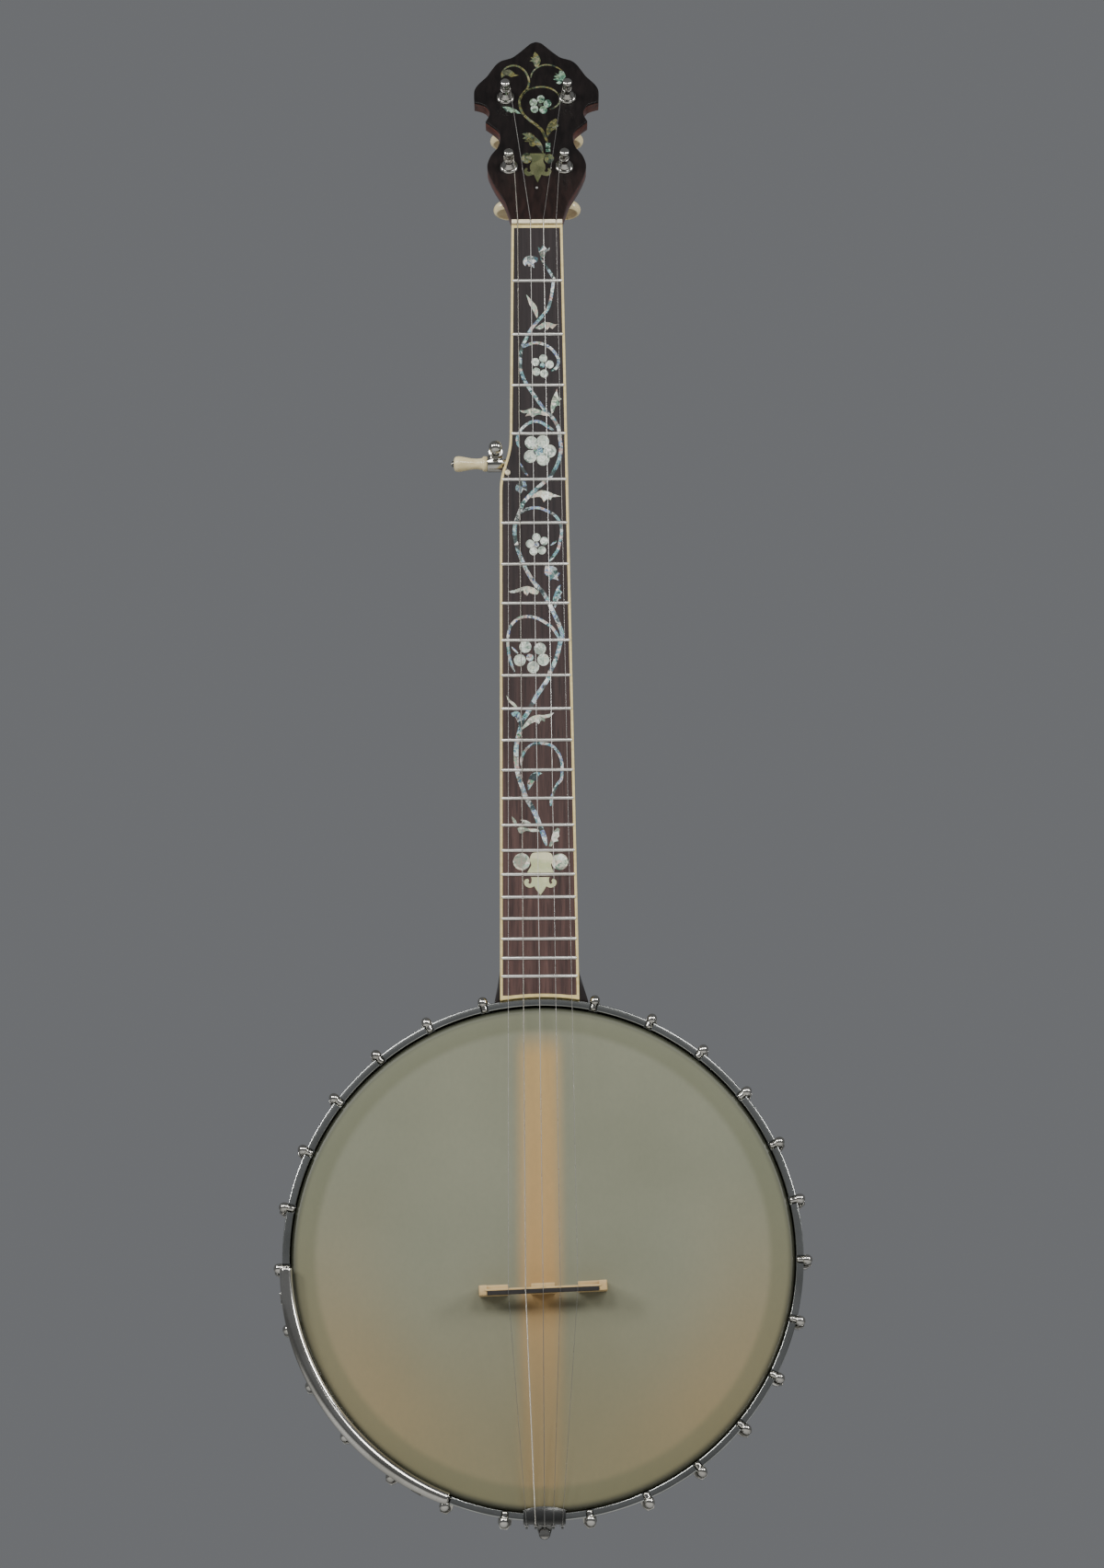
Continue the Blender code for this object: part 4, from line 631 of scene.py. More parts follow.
def plate_mesh(outlines, low, high, rounding):
    """Flat plate between two heights, with its first outline cut by the others."""
    curve = bpy.data.curves.new("outline", "CURVE")
    curve.dimensions = "2D"
    curve.fill_mode = "BOTH"
    curve.extrude = (high - low) / 2 - rounding
    curve.bevel_depth = rounding
    curve.bevel_resolution = 1
    curve.offset = -rounding
    for outline in outlines:
        spline = curve.splines.new("POLY")
        spline.points.add(len(outline) - 1)
        for point, (x, y) in zip(spline.points, outline):
            point.co = (x, y, 0, 1)
        spline.use_cyclic_u = True
    holder = bpy.data.objects.new("outline", curve)
    mesh = bpy.data.meshes.new_from_object(holder)
    bpy.data.objects.remove(holder)
    bpy.data.curves.remove(curve)
    mesh.transform(Matrix.Translation((0, 0, (low + high) / 2)))
    return mesh


def plates(name, groups, low, high, matrix, look, rounding=0.0):
    """One object of several plates. Each group is an outline and its holes."""
    shape = bmesh.new()
    for outlines in groups:
        mesh = plate_mesh(outlines, low, high, rounding)
        shape.from_mesh(mesh)
        bpy.data.meshes.remove(mesh)
    return from_shape(name, shape, look, matrix, smooth_below=20)


def joined(name, pieces, look):
    """One object of several in place, all of one material."""
    shape = bmesh.new()
    for piece in pieces:
        shape.from_mesh(piece.data)
        bpy.data.objects.remove(piece)
    mesh = bpy.data.meshes.new(name)
    shape.to_mesh(mesh)
    shape.free()
    return finished(name, mesh, look)


def apply_modifiers(obj):
    """Gives the object the mesh that its modifiers make of it, and takes them off."""
    graph = bpy.context.evaluated_depsgraph_get()
    mesh = bpy.data.meshes.new_from_object(obj.evaluated_get(graph))
    obj.modifiers.clear()
    obj.data = mesh


def refined(node, look, name, rounding, smooth_below=35):
    """The node's own shape with its flat faces cleaned and its edges rounded, standing for it."""
    shape = bmesh.new()
    shape.from_mesh(frame["nodes"][node].data)
    bmesh.ops.remove_doubles(shape, verts=shape.verts, dist=0.00001)
    bmesh.ops.dissolve_limit(shape, angle_limit=math.radians(0.6), verts=shape.verts, edges=shape.edges)
    piece = from_shape(name, shape, look, smooth_below=smooth_below)
    bevel = piece.modifiers.new("worn_edges", "BEVEL")
    bevel.width = rounding
    bevel.segments = 2
    bevel.limit_method = "ANGLE"
    bevel.angle_limit = math.radians(35)
    apply_modifiers(piece)
    shade(piece.data, smooth_below)
    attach(piece, "banjo")
    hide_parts(node)
    return piece


def carry(node, look):
    """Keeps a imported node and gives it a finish."""
    slots = frame["nodes"][node].data.materials
    slots.clear()
    slots.append(look.material)


def outline_length(outline):
    return sum((a - b).length for a, b in zip(outline, outline[1:] + outline[:1]))


def top_faces(shape, sense):
    """The highest of a shape's faces that look up, or the lowest that look down if sense is -1."""
    looking = [face for face in shape.faces if face.normal.z * sense > 0.999]
    heights = [face.calc_center_median().z * sense for face in looking]
    return [face for face, height in zip(looking, heights) if abs(height - max(heights)) < 0.0001]


def boundary_loops(node, matrix, sense):
    """Outlines, longest first, of a node's flat face that looks along a frame's third axis.

    A sense of -1 takes the face that looks the other way.
    """
    shape = bmesh.new()
    shape.from_mesh(frame["nodes"][node].data)
    shape.transform(matrix.inverted())
    bmesh.ops.remove_doubles(shape, verts=shape.verts, dist=0.00001)
    chosen = top_faces(shape, sense)
    among = set(chosen)
    following = {}
    for face in chosen:
        for loop in face.loops:
            if len([other for other in loop.edge.link_faces if other in among]) == 1:
                following[loop.vert] = loop.link_loop_next.vert
    loops = []
    while following:
        start, here = following.popitem()
        outline = [start.co.xy.copy()]
        while here is not start:
            outline.append(here.co.xy.copy())
            here = following.pop(here)
        loops.append(outline)
    shape.free()
    return sorted(loops, key=outline_length, reverse=True)


def turn_at(outline, i):
    """Angle in degrees by which an outline turns at one of its points."""
    before = outline[i] - outline[i - 1]
    after = outline[(i + 1) % len(outline)] - outline[i]
    return abs(math.degrees(before.angle_signed(after, 0.0)))


def without_middle_points(outline, tolerance):
    """Outline without the points where it runs straight on."""
    return [here for i, here in enumerate(outline) if turn_at(outline, i) > tolerance]


def curved_outline(outline, corner, per_span):
    """Outline smoothed between its corners, which stay sharp where it turns by more than an angle."""
    count = len(outline)
    corners = [i for i in range(count) if turn_at(outline, i) > corner]
    if not corners:
        return smoothed(outline, per_span, closed=True)
    points = []
    for start, end in zip(corners, corners[1:] + [corners[0] + count]):
        stretch = [outline[i % count] for i in range(start, end + 1)]
        points += smoothed(stretch, per_span)[:-1]
    return points


# The pot

HEAD_CLEARANCE = 0.0005
SHOULDER = 0.0038
INNER_SHOULDER = 0.0033
FLESH_LIP = 0.0004
NOTCH_BLOCK_LENGTH = 0.009
NOTCH_BLOCK_RISE = 0.001
NUT_HEIGHT = 0.007
ARMREST_START = math.radians(201.5)
ARMREST_END = math.radians(268.0)
ARMREST_THICKNESS = 0.004
ARMREST_INNER = HOOP_INNER - 0.0016
ARMREST_END_WIDTH = 0.0073
ARMREST_SWELL = 0.0019
ARMREST_ROUND = 0.0075
STRAP_THICKNESS = 0.0018
STRAP_HALF_WIDTH = 0.0035
STRAP_TOE = 0.152


def shoulder_arc(radius, top, bend, steps):
    """Quarter arc of (radius, out) that turns down from a level at a radius."""
    return [(radius - bend * (1 - math.sin(a)), top - bend * (1 - math.cos(a)))
            for a in arc(math.pi / 2, steps)]


def make_head():
    """Skin over its tone ring, turned down into the flesh hoop."""
    radius = HOOP_INNER - HEAD_CLEARANCE
    flesh_top = HOOP_BOTTOM - GAP
    flesh_bottom = flesh_top - FLESH_HEIGHT
    profile = [(radius * i / 12, 0.0) for i in range(12)]
    profile += shoulder_arc(radius, 0.0, SHOULDER, 8)
    profile += [(radius, flesh_top), (HOOP_OUTER - GAP, flesh_top), (HOOP_OUTER - GAP, flesh_bottom),
                (radius - FLESH_LIP, flesh_bottom)]
    profile += shoulder_arc(radius - SKIN_THICKNESS, -SKIN_THICKNESS, INNER_SHOULDER, 6)[::-1]
    profile += [(0.0, -SKIN_THICKNESS)]
    head = turned("skin", profile, POT, SKIN, 192)
    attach(head, "banjo")
    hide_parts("head")


def hook_angles():
    """Clock angle of each hook, in the order of their numbers."""
    angles = []
    for index in range(1, HOOK_COUNT + 1):
        low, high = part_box(f"hook_{index:02d}")
        middle = (low + high) / 2 - POT.translation
        angles.append(math.atan2(middle.x, middle.z))
    return angles


def notch_blocks():
    """Blocks that cut a notch for each hook."""
    out = HOOP_RISE - NOTCH_DEPTH / 2 + NOTCH_BLOCK_RISE
    place = Matrix.Translation((0, (HOOP_INNER + HOOP_OUTER) / 2, out))
    size = Matrix.Diagonal((NOTCH_WIDTH, NOTCH_BLOCK_LENGTH, NOTCH_DEPTH + 2 * NOTCH_BLOCK_RISE, 1))
    shape = bmesh.new()
    for angle in hook_angles():
        turn = Matrix.Rotation(-angle, 4, "Z")
        bmesh.ops.create_cube(shape, size=1, matrix=POT @ turn @ place @ size)
    return from_shape("notches", shape, None)


def make_tension_hoop():
    """Flat-topped hoop with rounded edges and a notch for each hook."""
    corners = [(HOOP_OUTER, HOOP_RISE), (HOOP_OUTER, HOOP_BOTTOM),
               (HOOP_INNER, HOOP_BOTTOM), (HOOP_INNER, HOOP_RISE)]
    hoop = turned("hoop", rounded_profile(corners, 0.0006), POT, HOOP_NICKEL, 312, ring=True)
    notches = notch_blocks()
    cut = hoop.modifiers.new("notches", "BOOLEAN")
    cut.operation = "DIFFERENCE"
    cut.solver = "EXACT"
    cut.object = notches
    apply_modifiers(hoop)
    bpy.data.objects.remove(notches)
    shade(hoop.data, 40)
    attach(hoop, "banjo")
    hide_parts("tension_hoop")


def hook_path(tail):
    """Centre line of a hook as (across, out, radius), from its bearing end over its ball to its tail."""
    wire = HOOK_WIRE
    claw = HOOP_RISE - NOTCH_DEPTH + GAP + wire / 2
    bearing = [(0.02, 0.45), (0.12, 0.80), (0.35, 0.98)]
    bend = [(0.70, 0.0, 1.0), (0.52, 0.0, 1.25), (0.20, 0.0, 1.42), (0.0, 0.10, 1.42), (0.0, 0.40, 1.30),
            (0.0, 0.62, 1.02), (0.0, 1.2, 1.0)]
    keys = [(HOOP_INNER + wire * along, claw, width) for along, width in bearing]
    keys += [(HOOK_CIRCLE - wire * back, claw - wire * down, width) for back, down, width in bend]
    keys += [(HOOK_CIRCLE, tail + 0.0006, 1.0), (HOOK_CIRCLE, tail, 0.8)]
    return smoothed([Vector((across, out, width * wire / 2)) for across, out, width in keys], 4)


def hook_and_nut():
    """Round hook with a ball where it bends over the hoop, and its nut."""
    tail = POT.translation.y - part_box("hook_01")[1].y
    path = hook_path(tail)
    hook = tube("hook", [Vector((p.x, 0, p.y)) for p in path], [p.z for p in path], NICKEL, 20)
    low = tail + 0.003
    high = low + NUT_HEIGHT
    profile = [(0.0, high), (0.0030, high), (0.0035, high - 0.0006),
               (0.0035, tail + 0.0036), (0.0030, low), (0.0, low)]
    nut = turned("hook_nut", profile, Matrix.Translation((HOOK_CIRCLE, 0, 0)), NICKEL, 6, smooth_below=20)
    return joined("hook_master", [hook, nut], NICKEL)


def make_hooks():
    """A copy of one dressed hook for each packed one, turned to its place."""
    master = hook_and_nut()
    for index, angle in enumerate(hook_angles(), start=1):
        piece = bpy.data.objects.new(f"bent_hook_{index:02d}", master.data.copy())
        piece.data.transform(POT @ Matrix.Rotation(math.pi / 2 - angle, 4, "Z"))
        bpy.context.scene.collection.objects.link(piece)
        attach(piece, "banjo")
        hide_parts(f"hook_{index:02d}")
    bpy.data.objects.remove(master)


def armrest_section(width, angle, bottom, shrink):
    """Half-round section of the rail at a clock angle."""
    centre = ARMREST_INNER + width / 2
    section = []
    for turn in arc(math.pi, 16):
        aside = (1 - math.cos(turn)) / 2 - 0.5
        rise = math.sin(turn) ** 0.8 * ARMREST_THICKNESS
        section.append(polar(centre + aside * width * shrink, angle, bottom + rise * shrink))
    return section


def armrest_rail(bottom):
    """Half-round rail that is widest at its middle and rounded off at its ends."""
    span = ARMREST_END - ARMREST_START
    steps = 120
    end_steps = 4
    rings = []
    for i in range(-end_steps, steps + end_steps + 1):
        share = min(max(i / steps, 0.0), 1.0)
        beyond = max(-i, i - steps, 0) / end_steps
        shrink = math.sqrt(max(1 - beyond * beyond, 0.0004))
        width = ARMREST_END_WIDTH + ARMREST_SWELL * math.sin(math.pi * share) ** 0.6
        angle = ARMREST_START + span * (share * (1 - 2 * ARMREST_ROUND) + ARMREST_ROUND)
        angle += ARMREST_ROUND * span * beyond * (1 if i > 0 else -1)
        rings.append(armrest_section(width, angle, bottom, shrink))
    shape = bmesh.new()
    skin_rings(shape, rings, capped=True)
    return from_shape("armrest_rail", shape, NICKEL, POT, 50)


def armrest_foot(angle, bottom):
    """Strap from the rail down the hoop's outside, with a toe under the flesh hoop."""
    top = bottom + 0.0016
    outside = HOOP_OUTER + GAP + 0.0005
    toe = HOOP_BOTTOM - GAP - FLESH_HEIGHT - GAP
    strap = [(outside, top), (outside, toe), (STRAP_TOE, toe), (STRAP_TOE, toe - STRAP_THICKNESS),
             (outside + STRAP_THICKNESS, toe - STRAP_THICKNESS), (outside + STRAP_THICKNESS, top)]
    matrix = POT @ Matrix.Rotation(math.pi / 2 - angle, 4, "Z") @ Matrix.Rotation(math.pi / 2, 4, "X")
    return plates("armrest_foot", [[strap]], -STRAP_HALF_WIDTH, STRAP_HALF_WIDTH, matrix, NICKEL, 0.0003)


def make_armrest():
    """Smooth rail over the hooks, with two feet round the hoop."""
    bottom = POT.translation.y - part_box("armrest")[0].y - ARMREST_THICKNESS
    feet = [armrest_foot(angle, bottom) for angle in foot_angles()]
    piece = joined("armrest_assembly", [armrest_rail(bottom)] + feet, NICKEL)
    piece.data.set_sharp_from_angle(angle=math.radians(50))
    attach(piece, "banjo")
    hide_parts("armrest")


def foot_angles():
    """Clock angles of the straps: midway between the first pair of hooks and the last pair but one."""
    clock = sorted(angle % (2 * math.pi) for angle in hook_angles())
    passed = [angle for angle in clock if ARMREST_START < angle < ARMREST_END]
    return (passed[0] + passed[1]) / 2, (passed[-2] + passed[-1]) / 2


def make_tone_ring():
    """Metal ring with a rounded shoulder that the skin bears on."""
    low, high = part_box("tone_ring")
    outer = (high.x - low.x) / 2
    inner = outer - 0.0095
    top = POT.translation.y - low.y
    bottom = POT.translation.y - high.y
    profile = shoulder_arc(outer, top, 0.003, 6) + [(outer, bottom), (inner, bottom), (inner, top)]
    ring = turned("tone_ring_metal", profile, POT, BRASS, 192, ring=True)
    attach(ring, "banjo")
    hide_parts("tone_ring")


# The neck

PIP_PROFILE = [
    (0.0, 0.0011), (0.0005, 0.0011), (0.0007, 0.0014), (0.0013, 0.0013), (0.0017, 0.0008),
    (0.0017, -0.0005), (0.0, -0.0005),
]
FRET_FOOT = 0.0003
LEAST_FRET_SIZE = 0.08


def fret_distance(number):
    """Distance of a fret from the nut."""
    return SCALE_LENGTH * (1 - 2 ** (-number / 12))


def edges_at(outline, up):
    """Lowest and highest across of an outline at one distance along the board."""
    found = []
    for a, b in zip(outline, outline[1:] + outline[:1]):
        if (a.y - up) * (b.y - up) <= 0 and a.y != b.y:
            found.append(a.x + (b.x - a.x) * (up - a.y) / (b.y - a.y))
    return min(found), max(found)


def smooth_edges(outline, up, reach=0.005):
    """Both edges of an outline at one distance along the board, softened over a short reach."""
    top = max(point.y for point in outline) - 0.0001
    places = [min(max(up + reach * (k / 4 - 1), END_OF_STRAIGHT_EDGES), top) for k in range(9)]
    lefts, rights = zip(*(edges_at(outline, place) for place in places))
    return sum(lefts) / len(lefts), sum(rights) / len(rights)


def moved_in(line, distance):
    """A line of points moved to its left by a distance."""
    moved = []
    for i, point in enumerate(line):
        ahead = (line[min(i + 1, len(line) - 1)] - line[max(i - 1, 0)]).normalized()
        moved.append(point + Vector((-ahead.y, ahead.x)) * distance)
    return moved


def between(line, low, high):
    return [point for point in line if low < point.y < high]


def board_outlines(raw):
    """The board's outline and the line inside its binding, down the left and up the right."""
    top = max(point.y for point in raw)
    end_line = sorted((point for point in raw if point.y < END_OF_STRAIGHT_EDGES), key=lambda point: point.x)
    steps = 240
    places = [top + (END_OF_STRAIGHT_EDGES - top) * k / steps for k in range(steps + 1)]
    left = [Vector((smooth_edges(raw, up)[0], up)) for up in places]
    right = [Vector((smooth_edges(raw, up)[1], up)) for up in places[::-1]]
    inner_end = [point + Vector((0, END_BINDING_WIDTH)) for point in end_line[1:-1]]
    floor = max(point.y for point in inner_end) + 0.0004
    ceiling = top - 0.0003
    inner_left = between(moved_in(left, BINDING_WIDTH), floor, ceiling)
    inner_right = between(moved_in(right, BINDING_WIDTH), floor, ceiling)
    inner_end = [point for point in inner_end if inner_left[-1].x < point.x < inner_right[0].x]
    inner_left.append(Vector((inner_left[-1].x, inner_end[0].y)))
    inner_right.insert(0, Vector((inner_right[0].x, inner_end[-1].y)))
    return left + end_line + right, inner_left + inner_end + inner_right


def crowned_frets(raw):
    """All frets in one object, each ending over the middle of the binding."""
    shape = bmesh.new()
    for number in range(1, FRET_COUNT + 1):
        up = -fret_distance(number)
        left, right = smooth_edges(raw, up)
        add_fret(shape, left + BINDING_WIDTH * 0.5, right - BINDING_WIDTH * 0.5, up)
    return from_shape("frets", shape, FRET_METAL, NECK, 60)


def make_fretboard():
    """Board, binding, frets and the fifth-string pip."""
    raw = boundary_loops("fretboard", NECK, -1)[0]
    outline, inner = board_outlines(raw)
    board = plates("rosewood_board", [[inner]], -BOARD_THICKNESS + 0.0001, 0.0, NECK, BOARD)
    binding = plates("board_binding", [[outline, inner]], -BOARD_THICKNESS, 0.00004, NECK, BINDING)
    frets = crowned_frets(raw)
    pip_place = NECK @ Matrix.Translation((*seen_at(PIP_PIXEL, NECK), 0))
    pip = turned("fifth_string_pip", PIP_PROFILE, pip_place, BONE, 32)
    for piece in (board, binding, frets, pip):
        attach(piece, "banjo")
    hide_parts("fretboard")


def add_fret(shape, left, right, up):
    """Crowned wire with rounded ends."""
    sizes = [(share, math.sqrt(1 - (1 - share) ** 2)) for share in (0.0, 0.08, 0.25, 0.55, 1.0)]
    places = [(left + share * FRET_HEIGHT, size) for share, size in sizes]
    places += [(right - share * FRET_HEIGHT, size) for share, size in sizes[::-1]]
    rings = []
    for across, size in places:
        size = max(size, LEAST_FRET_SIZE)
        half = FRET_WIDTH / 2 * size
        ring = [Vector((across, up + half * math.cos(a), FRET_HEIGHT * size * math.sin(a)))
                for a in arc(math.pi, 10)]
        ring += [Vector((across, up - half, -FRET_FOOT)), Vector((across, up + half, -FRET_FOOT))]
        rings.append(ring)
    skin_rings(shape, rings, capped=True)


# Inlays, each outline being pixels of the photograph

MAIN_VINE = [
    (587.5, 280.8), (602, 302.7), (601.3, 308), (598.5, 326), (594.5, 337), (584.5, 349), (577, 358),
    (572, 368), (567, 378), (565.5, 390), (566, 402), (570, 413), (576, 423), (583, 433), (591, 444),
    (599, 452), (604.5, 460), (607.5, 467), (608.8, 478), (609.7, 488), (607.5, 500), (601, 514),
    (595, 521), (588, 527), (577, 537), (568.5, 547), (565, 556), (561.5, 565), (559.5, 573),
    (559.5, 582), (562.5, 596), (567, 608), (573, 621), (580.5, 633), (589.5, 643), (595, 652),
    (600, 662), (606, 675), (611, 689), (608.5, 700), (605.5, 713), (601, 724), (598, 730), (596, 737),
    (589, 748), (584, 755), (579, 764), (574, 774), (568, 783), (565, 794), (562.5, 804), (561, 815),
    (561.5, 832), (564, 845), (568, 856), (571.5, 866), (578, 877), (583, 887), (587, 898), (591, 908),
    (594, 919),
]
BOARD_TENDRILS = [
    [(567, 378), (572, 375.5), (580, 372.8), (589, 373.5), (598, 378), (605, 386), (607.3, 393),
     (604.5, 400), (599, 403)],
    [(565, 487), (562.5, 481), (562.5, 474), (566, 467.5), (572, 461.5), (580, 458), (588, 459),
     (596, 464), (602, 467.5)],
    [(565, 503), (569, 511), (574, 517)],
    [(566, 558), (571, 554), (578, 552), (586, 552), (594, 555), (603, 560), (608.5, 568), (610.5, 577),
     (609, 587), (606.5, 597), (601, 605), (597, 610)],
    [(598.5, 592.5), (605, 588)],
    [(559.5, 730), (556, 722), (553, 710), (552, 697), (553.5, 684), (558, 676.5), (565, 671.5),
     (574, 670), (583, 671.5), (591, 675.5), (599, 681), (604.5, 688), (607.5, 694)],
    [(556, 703), (563, 710)],
    [(566.5, 832), (567, 824), (571, 815.5), (578, 809.5), (586, 808), (595, 808.5), (602, 812),
     (607.5, 819), (610.5, 828), (611, 838), (610, 847), (606, 852), (602, 860), (599.5, 868),
     (598.5, 876)],
]
# Each flower: petal radius, centre, radius of the centre and the middles of the petals
BOARD_FLOWERS = [
    (4.7, (589.5, 397), 3.3, [(590.5, 389.5), (597.5, 396), (591.5, 406), (583, 404), (582, 393.5)]),
    (7.5, (585, 490), 6.5, [(577.5, 481), (590, 480), (597.5, 490.3), (590.3, 499), (576.5, 496)]),
    (4.8, (583.5, 592), 3.3, [(583, 584), (591.5, 588), (589, 598), (580, 599), (576, 591)]),
    (7.0, (576, 714.5), 5.0, [(571, 703), (587, 705), (590.5, 717), (579.5, 725), (565, 717.5)]),
]
BLUE_LEAVES = [
    [(584.5, 280), (577, 278), (571, 279.5), (568.5, 285), (571, 289.5), (573, 286), (575, 290),
     (577, 286.5), (579, 290.5), (581, 291), (580, 286), (584, 284)],
    [(587.5, 280), (586, 274), (584.5, 268), (587.5, 270.5), (590, 266.5), (592, 268), (595, 271),
     (597.5, 269), (597, 272.5), (593.5, 274), (592, 279)],
    [(560.5, 529), (565, 523.5), (571, 523.5), (572.5, 528), (573, 534), (569, 531.5), (566, 537),
     (563, 534), (561, 533)],
    [(603, 661), (601, 652), (603, 645), (606, 638), (609.5, 635.5), (608.5, 641), (611.5, 643.5),
     (609, 647), (610, 650), (606.5, 652), (605.5, 657)],
    [(592.5, 616), (592, 623), (596, 627), (597.5, 631.5), (601, 629), (607.5, 631), (606, 627.5),
     (609, 623), (606, 621.5), (605, 617.5), (601, 615.5), (597, 615.5), (594, 615)],
    [(555.5, 775), (561, 773), (565, 775), (566, 781), (565.5, 789), (562.5, 784), (560, 779.5),
     (557, 778)],
    [(574, 859), (573.5, 851), (576, 843.5), (580, 840), (586, 839.5), (589.5, 840.5), (585.5, 843),
     (584.5, 848.5), (581.5, 848), (579, 852.5), (576.5, 856)],
]
WHITE_LEAVES = [
    [(572, 320), (577, 325.5), (580, 329), (583, 333), (584.7, 340), (583.8, 346), (581, 341),
     (578.5, 336), (575.5, 331), (574.5, 328)],
    [(581.5, 356.5), (586, 353.5), (591, 350.5), (597, 350.5), (603, 352.5), (606, 352), (600.5, 357.5),
     (597.5, 355.5), (594.5, 358.5), (592, 355.5), (587, 358)],
    [(599.5, 450), (598.7, 443), (600, 434), (603, 428), (605.5, 422.5), (606.5, 430), (610.5, 433.5),
     (607, 436), (609, 440.5), (604, 441.5), (602, 447)],
    [(597.5, 452), (592, 447.5), (585, 445), (578, 443.5), (571, 446), (564.5, 446), (569, 449),
     (573.5, 448.5), (571, 452.5), (576, 451.5), (579, 453), (585, 450.5), (591, 451.5)],
    [(575, 541), (581, 536.5), (588, 533), (595, 534), (602, 537), (610, 539.5), (604, 540), (600, 540.5),
     (598.5, 543.5), (595.5, 541.5), (591, 545.5), (588.5, 541), (584, 540), (579, 541)],
    [(586, 643), (580, 639), (573, 637), (566.5, 638.5), (560, 641), (552.5, 642.5), (556, 644.5),
     (563, 643.5), (568.5, 641.5), (570, 645), (573, 647.5), (575, 643.5), (579, 645.5), (584, 646)],
    [(550.5, 755.5), (554, 760.5), (559, 764), (562.5, 768.5), (559, 768), (555, 764.5), (552, 761)],
    [(566, 794), (570, 787), (576, 780), (584, 777), (592, 777), (602, 774.5), (598, 779), (592.5, 780.5),
     (592, 784.5), (588.5, 782.5), (585.5, 787), (582, 784.5), (577, 786.5), (571, 790.5)],
    [(556, 887), (560, 890.5), (562, 895), (558, 894)],
    [(565.5, 891), (572, 891.5), (578, 895), (570, 894)],
    [(562.5, 900), (567, 899), (575, 900.5), (584, 901), (586.5, 903.5), (579, 904), (572, 903),
     (567, 905.5), (564, 904.5)],
    [(596.5, 920), (599, 912), (601.5, 904), (606, 899.5), (608.5, 901), (607.5, 906), (608, 908.5),
     (605.5, 911), (607, 914), (602, 915.5), (599.5, 920)],
]
URN = [
    (578, 928), (583, 926.5), (596, 926.5), (600, 929), (601, 934), (599, 940), (601, 946), (602.5, 949),
    (572.5, 949), (575, 945), (577.5, 940), (576, 934),
]
URN_DISCS = [((567, 936.5), 9.2), ((608.5, 936.5), 9.0)]
BOARD_FLEUR_MIDDLE = 587.3
BOARD_FLEUR_RIGHT = [
    (587.3, 953.3), (597.5, 953.3), (596.7, 955.3), (597, 959), (598.7, 960.8), (600.7, 959.2),
    (599.5, 957.2), (600.8, 955), (603.7, 956), (605, 959.3), (603, 963), (598.3, 964.7), (593.7, 963),
    (591.7, 966.7), (587.5, 972.7),
]
# Each vine: width at its start, width at its end and its line
HEADSTOCK_VINES = [
    (1.6, 3.0, [(545, 81.3), (546.9, 76.9), (551.3, 73.1), (557.5, 71.3), (563.8, 72.5), (570, 76.9),
     (574, 83.8), (575, 90), (573.1, 96.3), (568.8, 101.3), (565, 107.5), (565, 115), (568.1, 123.1),
     (575, 130), (582.5, 135.6), (588.8, 141.3), (592.5, 148.8), (595.3, 155)]),
    (1.5, 1.3, [(576.9, 85), (578.1, 80), (581.3, 75.6), (585, 73.1), (590, 71), (597.5, 70.6),
     (605, 73.1), (611.3, 76.9)]),
    (1.8, 1.4, [(565, 110), (567.5, 103.8), (572.5, 98.8), (580, 95.6), (590, 94.4), (598.8, 96.3),
     (605, 100.6), (608.5, 106.3), (607.5, 112.5), (602.5, 116.9), (597.5, 118.8)]),
]
HEADSTOCK_FLOWER = (
    4.5, (586.9, 114), 2.5, [(587.8, 107.8), (595, 112.5), (590.6, 119.4), (581, 118.5), (579.8, 111.5)])
HEADSTOCK_GOLD = [
    [(581.3, 56.5), (585, 60), (587.5, 65.6), (586.3, 70), (583.1, 73.8), (581, 71.3), (579.4, 67.5),
     (575.3, 66.3), (578.8, 65), (576.5, 61.9), (580, 62.8), (579.4, 60.6)],
    [(545, 85), (544.8, 79.8), (548.1, 76.9), (553.1, 75.6), (557.5, 78.1), (560, 80.6), (563.8, 81.9),
     (558.8, 83.1), (555.6, 83.8), (551.3, 81.9), (548.1, 82.6)],
    [(595.3, 149.4), (593.8, 143.1), (595, 137.5), (598.1, 132.5), (603.8, 128.8), (605.6, 130),
     (605, 133.8), (607.5, 136.3), (605, 138.8), (605.6, 141.3), (601.3, 141.3), (599.4, 143.1),
     (597.5, 145.6)],
    [(590.6, 166.9), (590, 160), (586.9, 153.8), (582.5, 149.4), (577.5, 145), (571.3, 144.4),
     (567.5, 145.6), (571.3, 148.1), (568.1, 150.6), (572.5, 151.9), (570, 153.8), (575, 154.4),
     (575.6, 157.5), (578.8, 159.4), (582.5, 157.5), (586.3, 161.3), (588.8, 165)],
]
HEADSTOCK_FLEUR_MIDDLE = 584.4
HEADSTOCK_FLEUR_RIGHT = [
    (592.6, 166.8), (592.8, 168.8), (591.0, 172.0), (590.6, 175.5), (592.4, 179.0), (592.8, 183.0),
    (591.8, 186.0), (593.8, 187.2), (596.0, 185.8), (595.2, 183.4), (597.2, 182.6), (599.2, 185.2),
    (598.6, 188.8), (595.4, 191.2), (591.4, 190.8), (588.6, 189.8), (587.2, 192.8), (584.4, 198.4),
]
